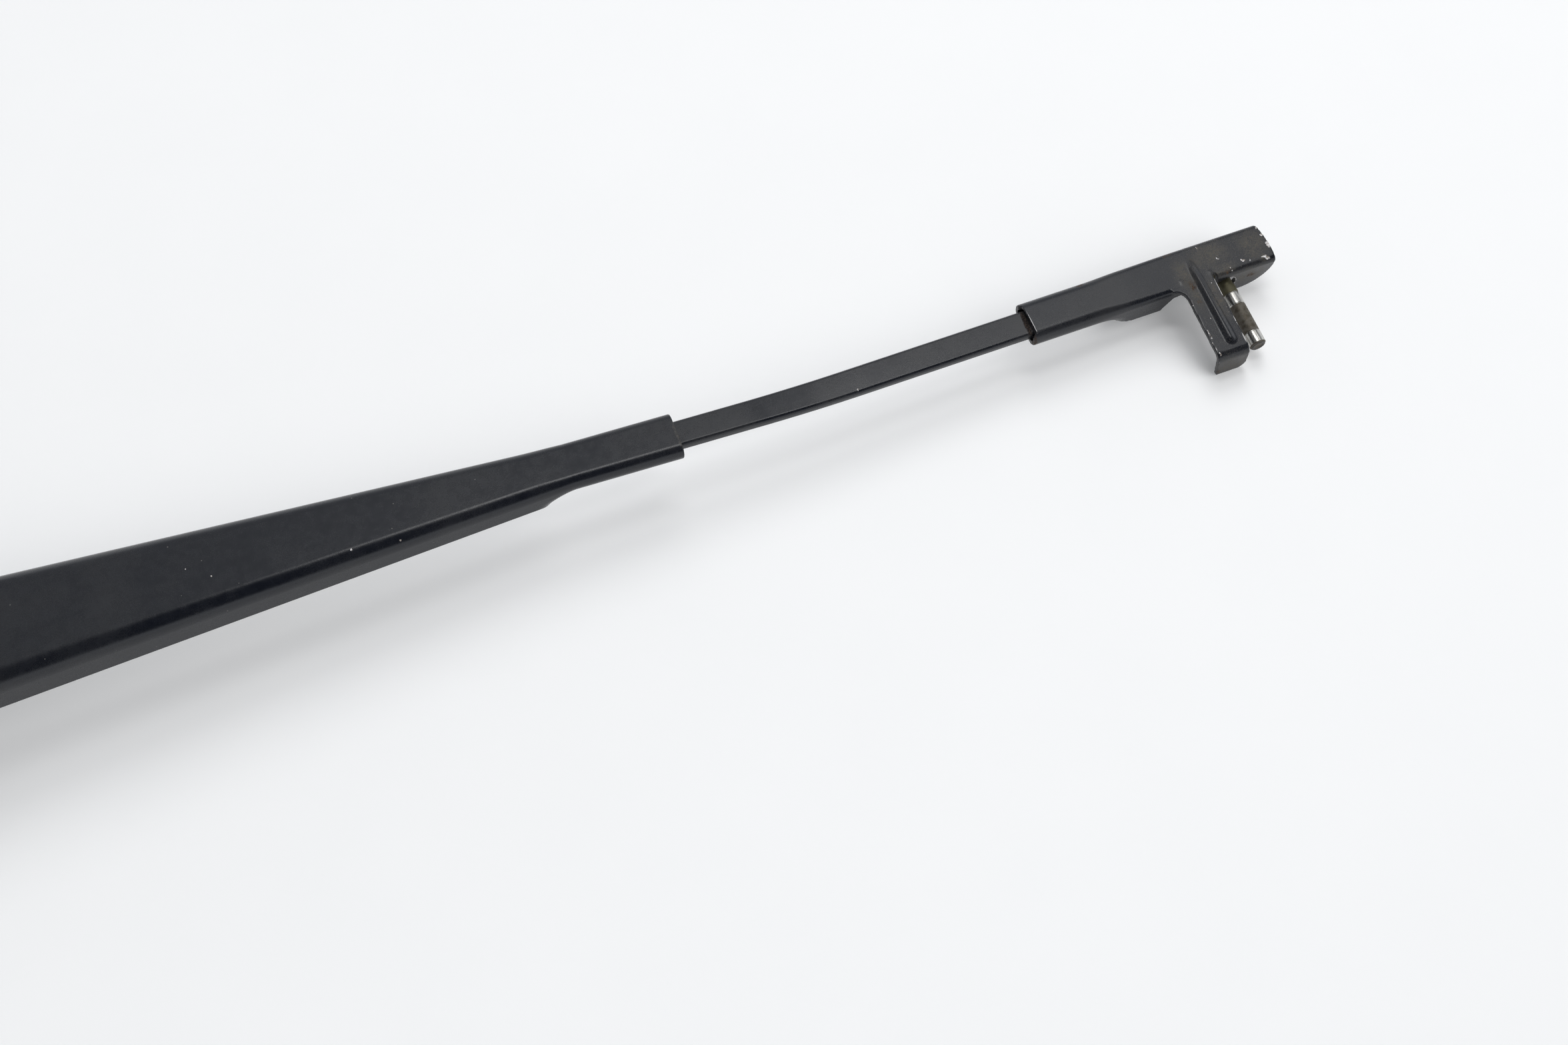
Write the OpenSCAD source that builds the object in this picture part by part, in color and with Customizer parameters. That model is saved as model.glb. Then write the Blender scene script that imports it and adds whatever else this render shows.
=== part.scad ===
// Car wiper arm: a cast mounting head, a folded channel that tilts on it, a flat
// bar crimped into the channel, and an end bracket with a side pin and a tab.
// The frame: +Z is the spindle's axis, the head's base is at z = 0, and the arm
// points along +X. The side pin and the tab point towards -Y.

/* [Sheet and bar] */
// Thickness of the folded sheet
sheet_t = 1.3; // [1.2:0.1:1.5]
// Width of the flat bar
bar_w = 8; // [7:0.5:9]
// Thickness of the flat bar
bar_t = 3; // [2.5:0.1:3.5]
// Edge radius of the flat bar
bar_edge_r = 1; // [0.5:0.1:1.2]
// Width of the sheet's rounded edges, as a share of their height
edge_spread = 1; // [1:0.05:1.4]

/* [Head] */
// Distance from the spindle to the fold pivot
pivot_x = 58; // [54:1:66]
// Height of the fold pivot above the head's base
pivot_z = 25.2; // [24:0.2:27]
// Outer radius of the boss round the spindle
boss_r = 13; // [12.5:0.5:15]
// Height of the boss
boss_h = 21; // [20:0.5:22]
// Half width of the neck
neck_half_w = 13.5; // [12.5:0.25:13.5]
// Radius of the lead-in at the bottom of the spindle hole
lead_r = 6.4; // [6:0.1:7]
// Depth of the lead-in
lead_h = 2.5; // [2:0.5:3]
// Radius of the taper seat at its wide lower end
taper_r = 5.8; // [5.4:0.1:6]
// Radius of the taper seat at its narrow upper end
taper_top_r = 4.9; // [4.7:0.1:5.2]
// Length of the taper seat
taper_h = 8; // [7:0.5:9]
// Radius of the hole for the spindle's thread
thread_hole_r = 4.2; // [4:0.1:4.5]
// Thickness of the web under the nut
web_t = 2.5; // [2:0.25:3]
// Radius of the well that the nut sits in
well_r = 9.5; // [9:0.25:10]
// Radius of the eye round the pivot
eye_r = 6.2; // [5.6:0.1:6.4]
// Half width of the slot that the spring link swings in
slot_half_w = 4.6; // [4:0.2:6]

/* [Pivot] */
// Radius of the pivot pin
pivot_pin_r = 2.5; // [2.2:0.1:2.8]
// Running clearance of the pivot pin in its bushes
running_gap = 0.05; // [0.03:0.01:0.08]
// Wall of the bush sleeve
bush_wall = 1.25; // [1:0.05:1.4]
// Thickness of the bush flange
bush_flange_t = 1.5; // [1.2:0.1:1.5]
// Radius of the bush flange
bush_flange_r = 5; // [4.6:0.1:5.2]
// Radius of the pivot pin's rivet heads
rivet_head_r = 4.4; // [3.8:0.1:4.8]
// Height of the pivot pin's rivet heads
rivet_head_h = 1.4; // [1:0.1:2]

/* [Spring] */
// Distance of the hook pin behind the pivot
hook_back = 3.5; // [3:0.1:4]
// Distance of the hook pin below the pivot
hook_down = 6.5; // [6.3:0.1:7]
// Radius of the hook pin
hook_pin_r = 2; // [1.8:0.1:2.1]
// Width of the link's strip
link_w = 3; // [2.4:0.2:3.4]
// Thickness of the link
link_t = 3; // [2.5:0.25:4]
// Length of the link from the hook pin to the hole for the coil
link_len = 62; // [56:1:68]
// Outer radius of the coil
coil_r = 4.2; // [3.6:0.1:4.2]
// Radius of the spring's wire
wire_r = 0.8; // [0.6:0.05:0.9]
// Number of turns of the coil
coil_turns = 15; // [12:1:17]
// Mean radius of the hooks at the coil's ends
coil_hook_r = 3.2; // [2.8:0.1:3.4]

/* [Retainer] */
// Length from the pivot to the crimped end
retainer_len = 205; // [195:1:215]
// Length of the crimp round the bar
crimp_len = 30; // [26:1:34]
// Height of the top face above the pivot
top_h = 8.2; // [8.2:0.1:9]
// Width at the pivot
rear_w = 33; // [33:0.5:36]
// Width at the crimp
crimp_w = 13.4; // [12.8:0.1:14]
// Distance from the pivot to where the taper starts
taper_start = 17; // [14:1:22]
// Depth of the walls where the taper starts
rear_depth = 12; // [11:0.1:13]
// Depth of the walls next to the crimp
front_depth = 7.1; // [6.8:0.1:8]
// Edge radius over the pivot
pivot_edge_r = 3.4; // [3:0.1:3.8]
// Edge radius where the taper starts
rear_edge_r = 5.2; // [4.5:0.1:5.6]
// Edge radius next to the crimp
front_edge_r = 3.2; // [2.8:0.1:3.6]
// Radius of the ears round the pivot
ear_r = 7.6; // [7:0.1:8]

/* [Bar] */
// Length of bar that shows between the retainer and the end bracket
bar_free = 102.4; // [90:0.2:120]
// Distance from the retainer to the middle of the bar's bend
bend_at = 36.5; // [25:0.5:45]
// Length of the bend
bend_len = 30; // [20:1:36]
// Sideways angle of the bend
bend_side = 2.4; // [0:0.1:5]
// Upward angle of the bend
bend_up = 0.6; // [0:0.1:3]
// Twist of the bar at the bend, pin side down
bend_twist = 5.1; // [0:0.1:8]
// Distance from the pivot to the bar's inner end
bar_start = 121; // [118:1:124]
// Length of the inner end that is set down for the spring
set_len = 19; // [17:1:22]
// Angle of the set inner end
set_angle = 12.5; // [11:0.5:14]
// Radius of the spring hole in the bar
bar_hole_r = 1.7; // [1.5:0.1:2]

/* [End bracket] */
// Length of the bracket
bracket_len = 75.2; // [72:0.2:80]
// Width of the bracket
bracket_w = 12.5; // [12:0.1:13]
// Length of its crimp
bracket_crimp = 20.5; // [18:0.5:22]
// Length over which the folded lips open into walls
unfold_len = 10.5; // [8:0.5:12]
// Depth of the walls behind the tab
wall_depth = 8.6; // [8:0.1:9.4]
// Depth of the walls at the pin
pin_wall_depth = 10.9; // [10.4:0.1:11]
// Edge radius behind the tab
bracket_edge_r = 2; // [1.7:0.1:2.4]
// Radius of the rounded lower tip
tip_r = 9.2; // [8.5:0.1:9.6]

/* [Tab] */
// Distance from the tab's outer edge to the bracket's tip
tab_to_tip = 19.9; // [19:0.1:22]
// Width of the tab
tab_w = 9.7; // [8.5:0.1:10]
// Reach of the tab from the bracket's centre line
tab_reach = 29.4; // [28:0.2:32]
// Droop of the tab
tab_droop = 2.7; // [1:0.1:4]
// Drop of the lip below the tab's top face
lip_drop = 8.7; // [8:0.1:9.5]
// Outer radius of the bend into the lip
lip_bend_r = 2.6; // [2:0.1:3]
// Radius of the fillet between tab and wall
tab_fillet_r = 3.4; // [2.5:0.1:4]
// Radius of the lip's rounded lower corner
lip_corner_r = 3; // [2.5:0.5:4]
// Outward lean of the lip
lip_lean = 7; // [2:0.5:12]
// How far the lip narrows towards its sharp corner
lip_taper = 0.7; // [0.3:0.1:1.2]
// Length of the bead along the tab
bead_len = 27.6; // [24:0.2:28]
// Radius of the bead at its round outer end
bead_r = 2; // [1.6:0.1:2.2]
// Radius of the bead at its narrow inner end
bead_tail_r = 1.1; // [0.9:0.1:1.3]
// Height of the bead above the sheet
bead_h = 0.9; // [0.6:0.1:1.1]

/* [Side pin] */
// Distance from the tab's edge to the pin's centre
pin_gap = 4.6; // [4:0.1:5]
// Depth of the pin's centre below the bracket's top face
pin_depth = 5.6; // [5.2:0.1:6]
// Radius of the pin
pin_r = 2.4; // [2.2:0.1:2.5]
// Free length of the pin outside the wall
pin_len = 21; // [17:0.5:22]
// Radius of the pin's neck, which passes the near wall
neck_r = 2.2; // [2.1:0.05:2.3]
// Length of the neck outside the wall
neck_len = 1.4; // [1:0.1:2]
// Clearance round the pin in the near wall's hole
hole_gap = 0.9; // [0.6:0.1:1.2]
// Radius of the pin's riveted tail
tail_r = 1.8; // [1.6:0.1:2]

/* [Cap] */
// Wall of the cap
cap_t = 1.6; // [1.4:0.1:2]
// Clearance between the cap and the head
cap_gap = 0.4; // [0.3:0.05:0.6]
// Distance from the pivot back to the cap's front edge
cap_setback = 12.5; // [12:0.5:15]
// Radius of the cap's hinge stubs
stub_r = 1.6; // [1.4:0.1:1.8]

/* [Hidden] */
$fn = 64;

paint_black = [0.14, 0.145, 0.155];
zinc_grey = [0.62, 0.63, 0.64];
pin_steel = [0.45, 0.44, 0.41];
cap_black = [0.07, 0.07, 0.075];
bush_white = [0.82, 0.81, 0.76];
head_black = [0.10, 0.10, 0.11];

// Small overlap that makes cuts run clear of faces
eps = 0.01;
big = 60;

// Blends and vectors
function clamp01(t) = min(max(t, 0), 1);
function smooth(t) = let (c = clamp01(t)) c*c*(3 - 2*c);
function mix(a, b, t) = a + (b - a)*t;
function unit(v) = v/norm(v);
function turn_x(v, a) = [v[0], v[1]*cos(a) - v[2]*sin(a), v[1]*sin(a) + v[2]*cos(a)];
function turn_y(v, a) = [v[0]*cos(a) + v[2]*sin(a), v[1], -v[0]*sin(a) + v[2]*cos(a)];
function turn_z(v, a) = [v[0]*cos(a) - v[1]*sin(a), v[0]*sin(a) + v[1]*cos(a), v[2]];

// The crimp holds the bar between the top sheet and the folded lips
crimp_h = bar_t + 2*sheet_t;
wall_gap = 0.1;
crimp_edge_r = (crimp_h - wall_gap)/2;

// Heights over the pivot, in the arm's own tilted frame
bar_mid_z = top_h - sheet_t - bar_t/2;
bend_x = retainer_len + bend_at;
bracket_x = bar_free - bend_at;
tab_end = bracket_len - tab_to_tip;
tab_at = tab_end - tab_w;
bracket_top = bar_t/2 + sheet_t;

// A point of the outer part of the arm, given from the bend, in the arm's frame
function outer_point(v) =
    [bend_x, 0, bar_mid_z] + turn_z(turn_y(turn_x(v, bend_twist), -bend_up), bend_side);

// The tab's profile: a flat, a bend, and a lip that leans outwards
tab_out = tab_reach - bracket_w/2;
tab_flat = tab_out - lip_bend_r;
lip_len = (lip_drop - lip_bend_r + (lip_bend_r - sheet_t)*sin(lip_lean))/cos(lip_lean);

// The lip's lowest corner, which touches the table
lip_low_y = -tab_flat - (lip_bend_r - sheet_t)*cos(lip_lean) - lip_len*sin(lip_lean);
lip_at = [bracket_x + tab_end - lip_corner_r/2, -bracket_w/2, bracket_top] + turn_x([0, lip_low_y, -lip_drop], tab_droop);
lip_low = outer_point(lip_at);

// The slope at which the lip rests level with the head's base
arm_slope = asin(pivot_z/norm([lip_low[0], lip_low[2]])) + atan2(lip_low[2], lip_low[0]);

// The spring runs from the hook pin to the bar's inner end
hook_at = [pivot_x - hook_back, 0, pivot_z - hook_down];
bar_end_z = bar_mid_z - set_len*tan(set_angle);
anchor_in_arm = [bar_start, 0, bar_end_z];
anchor_at = [pivot_x, 0, pivot_z] + turn_y(anchor_in_arm, arm_slope);
spring_dir = anchor_at - hook_at;
spring_len = norm(spring_dir);
spring_pitch = atan2(spring_dir[2], spring_dir[0]);

module arm_frame() {
    translate([pivot_x, 0, pivot_z]) rotate([0, arm_slope, 0]) children();
}

module outer_frame() {
    arm_frame()
        translate([bend_x, 0, bar_mid_z])
            rotate([0, 0, bend_side]) rotate([0, -bend_up, 0]) rotate([bend_twist, 0, 0])
                children();
}

module bracket_frame() {
    outer_frame() translate([bracket_x, 0, 0]) children();
}

module link_frame() {
    translate(hook_at) rotate([0, -spring_pitch, 0]) children();
}

// A cylinder along Y, centred on y = 0 or from y0 to y1
module along_y(r, y0, y1, fn = 64) {
    translate([0, y1, 0]) rotate([90, 0, 0]) cylinder(r = r, h = y1 - y0, $fn = fn);
}

// A flat shape drawn in X and Z, given a thickness from y0 to y1
module plate_xz(y0, y1) {
    translate([0, y1, 0]) rotate([90, 0, 0]) linear_extrude(height = y1 - y0) children();
}

// Folded sheet.
// A half section runs from the top face round the edge, down the wall, round the
// lower fold and along the lip. Each entry is a point and its outward normal.
edge_steps = 8;
fold_steps = 5;

// The edge is a quarter of an ellipse, as wide as the flat of the bar below allows
function edge_run(w, r) =
    max(r, min(edge_spread*r, r*r/(sheet_t + 0.1), w/2 - bar_w/2 + bar_edge_r));

function edge_part(w, top, r) =
    let (run = edge_run(w, r))
        [for (k = [0:edge_steps])
            let (a = 90 - 90*k/edge_steps)
                [[w/2 - run + run*cos(a), top - r + r*sin(a)], unit([cos(a)*r/run, sin(a)])]];

function fold_point(y, z, len, a) =
    a < 0.5 ? [y, z - len] : let (q = a*PI/180) [y - len*(1 - cos(a))/q, z - len*sin(a)/q];

function fold_part(y, z, len, angle) =
    [for (k = [0:fold_steps])
        let (a = angle*k/fold_steps)
            [fold_point(y, z, len*k/fold_steps, a), [cos(a), -sin(a)]]];

function half_section(w, top, r, wall, fold, angle, lip) =
    let (z = top - r - wall)
    let (f = fold_part(w/2, z, fold, angle))
    let (e = f[fold_steps])
        concat(edge_part(w, top, r), f, [[e[0] + lip*[-sin(angle), -cos(angle)], e[1]]]);

// A ring: the outer line from one lip to the other, then back along the inside
function ring(x, near, far) =
    let (n = len(near) - 1)
    let (line = concat([for (k = [n:-1:0]) [[-near[k][0][0], near[k][0][1]], [-near[k][1][0], near[k][1][1]]]], far))
        concat(
            [for (p = line) [x, p[0][0], p[0][1]]],
            [for (k = [len(line) - 1:-1:0])
                let (p = line[k][0] - sheet_t*line[k][1]) [x, p[0], p[1]]]);

// A sheet lofted through rings of equal length
module folded_sheet(rings) {
    m = len(rings[0]);
    half = m/2;
    last = (len(rings) - 1)*m;
    sides = [for (k = [0:len(rings) - 2]) for (j = [0:m - 1])
        let (a = k*m + j, b = k*m + (j + 1)%m)
            each [[a, b, b + m], [a, b + m, a + m]]];
    start = [for (j = [0:half - 2])
        each [[j, m - 1 - j, m - 2 - j], [j, m - 2 - j, j + 1]]];
    end = [for (j = [0:half - 2])
        each [[last + j, last + m - 2 - j, last + m - 1 - j], [last + j, last + j + 1, last + m - 2 - j]]];
    polyhedron(points = [for (r = rings) each r], faces = concat(sides, start, end), convexity = 8);
}

// Each stretch of the wall is a share of its open depth until the lips fold
wall_share = 0.45;
fold_share = 0.45;
lip_share = 0.1;
lip_gap = 0.4;

function channel_half(w, top, r, depth, folded) =
    let (open = depth - r)
        half_section(
            w, top, r,
            mix(wall_share*open, wall_gap, folded),
            mix(fold_share*open, crimp_edge_r*PI/2, folded),
            90*folded,
            mix(lip_share*open, w/2 - crimp_edge_r - lip_gap, folded));

// Retainer: rings from behind the pivot to the crimped end
crimp_x = retainer_len - crimp_len;
fold_run = 11;
ear_run = 12;
ear_depth = top_h + ear_r;

function retainer_taper(x) = clamp01((x - taper_start)/(crimp_x - taper_start));
function retainer_fold(x) = smooth((x - crimp_x + fold_run)/fold_run);
function retainer_width(x) = mix(rear_w, crimp_w, retainer_taper(x));
function retainer_depth(x) =
    x > taper_start ? mix(rear_depth, front_depth, retainer_taper(x))
        : mix(ear_depth, rear_depth, smooth((x - taper_start + ear_run)/ear_run));
function retainer_edge(x) =
    x > taper_start ? mix(mix(rear_edge_r, front_edge_r, retainer_taper(x)), crimp_edge_r, retainer_fold(x))
        : mix(pivot_edge_r, rear_edge_r, smooth((x - taper_start + ear_run)/ear_run));
function retainer_half(x) = channel_half(retainer_width(x), top_h, retainer_edge(x), retainer_depth(x), retainer_fold(x));

retainer_stations = concat(
    [-ear_r - 0.5],
    [for (k = [0:4]) taper_start - ear_run*(1 - k/4)],
    [mix(taper_start, crimp_x, 0.5)],
    [for (k = [0:8]) crimp_x - fold_run*(1 - k/8)],
    [retainer_len]);

module retainer_ears() {
    // The top sheet stops over the pivot, and the walls end as round ears
    translate([-big - 1.5, -big/2, top_h - pivot_edge_r]) cube([big, big, big]);
    difference() {
        translate([-big, -big/2, -big/2]) cube([big, big, big]);
        along_y(ear_r, -big, big, 96);
    }
}

module retainer() {
    color(paint_black)
        arm_frame()
            difference() {
                folded_sheet([for (x = retainer_stations) let (h = retainer_half(x)) ring(x, h, h)]);
                retainer_ears();
                along_y(pivot_pin_r, -rear_w, rear_w);
            }
}

// Bar: a rounded rectangle swept along its path
bar_corner_steps = 4;
bar_section = [
    for (c = [[1, 1, 0], [-1, 1, 90], [-1, -1, 180], [1, -1, 270]])
        for (k = [0:bar_corner_steps])
            let (a = c[2] + 90*k/bar_corner_steps)
                [c[0]*(bar_w/2 - bar_edge_r) + bar_edge_r*cos(a), c[1]*(bar_t/2 - bar_edge_r) + bar_edge_r*sin(a)]];

// The set inner end turns down over a short bend
set_bend = 6;
bend_steps = 10;
bracket_stop = bracket_crimp - 1.5;

// A station is a place and the turns about X, Y and Z that its section has
set_mid = bar_start + set_len;
bar_inner = [
    [[bar_start, 0, bar_end_z], [0, -set_angle, 0]],
    [[set_mid - set_bend/2, 0, bar_mid_z - set_bend/2*tan(set_angle)], [0, -set_angle, 0]],
    [[set_mid, 0, bar_mid_z - 0.25*set_bend*tan(set_angle/2)], [0, -set_angle/2, 0]],
    [[set_mid + set_bend/2, 0, bar_mid_z], [0, 0, 0]]];

function bend_point(t) =
    let (s = (t - 0.5)*bend_len)
    let (sag = bend_len/8*pow(1 - abs(2*t - 1), 2))
    let (far = outer_point([s, 0, 0]) - [bend_x, 0, bar_mid_z])
    let (p = s < 0 ? [s, 0, 0] : far)
        [bend_x, 0, bar_mid_z] + p + sag*[0, sin(bend_side), sin(bend_up)];

bar_bend = [for (k = [0:bend_steps])
    let (t = k/bend_steps)
        [bend_point(t), t*[bend_twist, -bend_up, bend_side]]];

bar_outer = [[outer_point([bracket_x + bracket_stop, 0, 0]), [bend_twist, -bend_up, bend_side]]];
bar_stations = concat(bar_inner, bar_bend, bar_outer);

function bar_ring(st) =
    [for (p = bar_section)
        st[0] + turn_z(turn_y(turn_x([0, p[0], p[1]], st[1][0]), st[1][1]), st[1][2])];

// A solid lofted through rings of equal length, closed by flat ends
module lofted_bar(rings) {
    m = len(rings[0]);
    last = (len(rings) - 1)*m;
    sides = [for (k = [0:len(rings) - 2]) for (j = [0:m - 1])
        let (a = k*m + j, b = k*m + (j + 1)%m)
            each [[a, b + m, b], [a, a + m, b + m]]];
    start = [[for (j = [0:m - 1]) j]];
    end = [[for (j = [m - 1:-1:0]) last + j]];
    polyhedron(points = [for (r = rings) each r], faces = concat(sides, start, end), convexity = 4);
}

module bar() {
    color(paint_black)
        arm_frame()
            difference() {
                lofted_bar([for (st = bar_stations) bar_ring(st)]);
                translate([bar_start, 0, bar_end_z])
                    rotate([0, -set_angle, 0])
                        translate([coil_hook_r, 0, -bar_t])
                            cylinder(r = bar_hole_r, h = 2*bar_t);
            }
}

// End bracket
pin_at = tab_end + pin_gap;
pin_z = bracket_top - pin_depth;
near_y = -bracket_w/2;

function bracket_fold(x) = 1 - smooth((x - bracket_crimp)/unfold_len);
function bracket_depth(x) = mix(wall_depth, pin_wall_depth, smooth((x - tab_at)/tab_w));
function bracket_edge(x) =
    mix(mix(bracket_edge_r, sheet_t + 0.3, smooth((x - bracket_crimp - unfold_len)/(tab_at - bracket_crimp - unfold_len))),
        crimp_edge_r, bracket_fold(x));
function bracket_half(x) = channel_half(bracket_w, bracket_top, bracket_edge(x), bracket_depth(x), bracket_fold(x));

bracket_stations = concat(
    [0],
    [for (k = [0:8]) bracket_crimp + unfold_len*k/8],
    [mix(bracket_crimp + unfold_len, tab_at, 0.7)],
    [for (k = [0:4]) tab_at + tab_w*k/4],
    [bracket_len]);

// The near wall is cut away along the tab, up a slanting edge behind it
relief_run = 3.4;
notch = 1.2;
module near_wall_window() {
    low = bracket_top - pin_wall_depth - 1;
    high = bracket_top - 3.6;
    plate_xz(near_y - 1, near_y + sheet_t + 0.5)
        polygon([[tab_at - relief_run - 2, low], [tab_at - relief_run - 1.6, bracket_top - wall_depth + 0.8],
                 [tab_at - relief_run + 1, high], [tab_at, high + 0.6], [tab_at, bracket_top + 1],
                 [tab_end + notch, bracket_top + 1], [tab_end + notch, low]]);
}

// The walls end in a round below the tip, and the top face ends in a shallow arc
tip_round_x = bracket_len - tip_r - 0.4;
tip_round_z = bracket_top - pin_wall_depth + tip_r;
tip_arc_r = 30;
module tip_cuts() {
    difference() {
        translate([tip_round_x, -bracket_w, tip_round_z - big]) cube([big, 2*bracket_w, big]);
        translate([tip_round_x, 0, tip_round_z]) along_y(tip_r, -bracket_w - 1, bracket_w + 1, 96);
    }
    difference() {
        translate([bracket_len - 4, -bracket_w, -big/2]) cube([big, 2*bracket_w, big]);
        translate([bracket_len - tip_arc_r, -2, -big]) cylinder(r = tip_arc_r, h = 2*big, $fn = 180);
    }
}

// The tab is drawn from the wall's plane outwards, then drooped about that line
module tab_profile() {
    translate([-tab_flat, -sheet_t]) square([tab_flat + bracket_edge_r + 1, sheet_t]);
    translate([-tab_flat, -lip_bend_r]) {
        intersection() {
            difference() {
                circle(r = lip_bend_r);
                circle(r = lip_bend_r - sheet_t);
            }
            translate([-2*lip_bend_r, 0]) square(2*lip_bend_r);
            rotate(-lip_lean) translate([-2*lip_bend_r, 0]) square(4*lip_bend_r);
        }
        rotate(-lip_lean) translate([-lip_bend_r, -lip_len]) square([sheet_t, lip_len]);
    }
}

module lip_trim() {
    // One lower corner of the lip is round, the other is sharp
    difference() {
        translate([tab_w - lip_corner_r, -tab_out - 3, -lip_drop - 1])
            cube([lip_corner_r + 1, sheet_t + 4, lip_corner_r + 1]);
        translate([tab_w - lip_corner_r, 0, lip_corner_r - lip_drop])
            along_y(lip_corner_r, -tab_out - 4, 0);
    }
    // The slanting side runs on a little below the lip
    past = 1 + 1/(lip_drop - lip_bend_r);
    plate_xz(-tab_out - 3, -tab_flat)
        polygon([[0, -lip_bend_r], [-1, -lip_bend_r], [-1, -lip_drop - 1], [past*lip_taper, -lip_drop - 1]]);
}

module tab_root_fillet() {
    translate([0, 0, -sheet_t])
        linear_extrude(height = sheet_t)
            difference() {
                translate([-tab_fillet_r, -tab_fillet_r]) square([tab_fillet_r + 1, tab_fillet_r + 1]);
                translate([-tab_fillet_r, -tab_fillet_r]) circle(r = tab_fillet_r);
            }
}

module tab() {
    translate([tab_at, near_y, bracket_top])
        rotate([tab_droop, 0, 0]) {
            difference() {
                rotate([90, 0, 90]) linear_extrude(height = tab_w) tab_profile();
                lip_trim();
            }
            tab_root_fillet();
        }
}

// The bead is a long round rise, narrow in the channel's top and full at the lip
bead_x = tab_at + tab_w/2;
bead_y = 1.9;
bead_out = bead_y - bead_len;
bead_drop = (near_y - bead_out)*sin(tab_droop);
module bead(inset) {
    tail = [bead_x, bead_y, bracket_top + 0.6*bead_h - bead_tail_r - inset];
    head = [bead_x, bead_out, bracket_top + bead_h - bead_r - bead_drop - inset];
    hull() {
        translate(tail) sphere(r = bead_tail_r, $fn = 24);
        translate(head) sphere(r = bead_r, $fn = 24);
    }
}

module end_bracket() {
    color(paint_black)
        bracket_frame()
            difference() {
                union() {
                    difference() {
                        folded_sheet([for (x = bracket_stations) let (h = bracket_half(x)) ring(x, h, h)]);
                        near_wall_window();
                    }
                    tab();
                    bead(0);
                }
                bead(sheet_t);
                tip_cuts();
                translate([pin_at, 0, pin_z]) along_y(pin_r + hole_gap, -bracket_w, 0);
                translate([pin_at, 0, pin_z]) along_y(tail_r, 0, bracket_w);
            }
}

// Side pin: it passes the near wall with a neck, and is riveted in the far one
pin_chamfer = 0.5;
module side_pin() {
    far_in = bracket_w/2 - sheet_t;
    free_end = near_y - pin_len;
    color(pin_steel)
        bracket_frame()
            translate([pin_at, 0, pin_z]) {
                along_y(pin_r, free_end + pin_chamfer, near_y - neck_len);
                translate([0, free_end + pin_chamfer, 0])
                    rotate([90, 0, 0]) cylinder(r1 = pin_r, r2 = pin_r - pin_chamfer, h = pin_chamfer);
                along_y(neck_r, near_y - neck_len - 1, far_in);
                along_y(tail_r, 0, bracket_w/2 + 1);
                translate([0, bracket_w/2, 0])
                    rotate([-90, 0, 0]) cylinder(r1 = tail_r + 1.4, r2 = tail_r + 0.4, h = 1.2);
            }
}

// Pivot: a riveted pin through both ears, turning in two flanged bushes
module pivot_frame() {
    translate([pivot_x, 0, pivot_z]) children();
}

module pivot_pin() {
    color(zinc_grey)
        pivot_frame() {
            along_y(pivot_pin_r, -rear_w/2, rear_w/2);
            for (s = [-1, 1])
                rotate([s*90, 0, 0])
                    translate([0, 0, rear_w/2])
                        cylinder(r1 = rivet_head_r, r2 = rivet_head_r - 1.2, h = rivet_head_h);
        }
}

bush_bore_r = pivot_pin_r + running_gap;
bush_r = bush_bore_r + bush_wall;
module pivot_bush() {
    difference() {
        union() {
            along_y(bush_r, slot_half_w, neck_half_w + eps);
            along_y(bush_flange_r, neck_half_w, neck_half_w + bush_flange_t);
        }
        along_y(bush_bore_r, slot_half_w - 1, neck_half_w + bush_flange_t + 1);
    }
}

module pivot_bush_near() {
    color(bush_white) pivot_frame() mirror([0, 1, 0]) pivot_bush();
}

module pivot_bush_far() {
    color(bush_white) pivot_frame() pivot_bush();
}

// Head
well_floor = lead_h + taper_h + web_t;
hook_eye_r = hook_pin_r + 2.4;
hook_low = pivot_z - hook_down - hook_eye_r;
notch_back = ear_r + 2;
notch_low = 3.2;
hinge_x = -boss_r - 2.2;
hinge_z = boss_h - 4;
lug_half_w = 5;
lug_r = 3.2;

// The neck's outline in X and Z: low at the boss, up to a shoulder, then a notch
// that the retainer's rear edge swings into
module neck_outline() {
    difference() {
        polygon([[0, 0], [pivot_x - 26, 1.5], [pivot_x - hook_back, hook_low],
                 [pivot_x, pivot_z], [pivot_x - notch_back + 1, pivot_z + 1.5], [pivot_x - 22, pivot_z + 1.5],
                 [pivot_x - 34, boss_h], [0, boss_h]]);
        translate([pivot_x, pivot_z]) circle(r = notch_back, $fn = 96);
    }
    translate([pivot_x - hook_back - 6, hook_low + 1]) square([8, pivot_z - notch_low - hook_low - 1]);
    translate([pivot_x, pivot_z]) circle(r = eye_r);
    translate([pivot_x - hook_back, pivot_z - hook_down]) circle(r = hook_eye_r);
}

// The slot is open to the front and below, where the link swings
slot_back = 13;
module link_slot() {
    translate([pivot_x - slot_back, -slot_half_w, -1])
        cube([big, 2*slot_half_w, pivot_z + big]);
}

module hinge_lug() {
    plate_xz(-lug_half_w, lug_half_w) {
        translate([hinge_x, hinge_z]) circle(r = lug_r);
        translate([hinge_x, hinge_z - lug_r]) square([boss_r, 2*lug_r]);
    }
}

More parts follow.
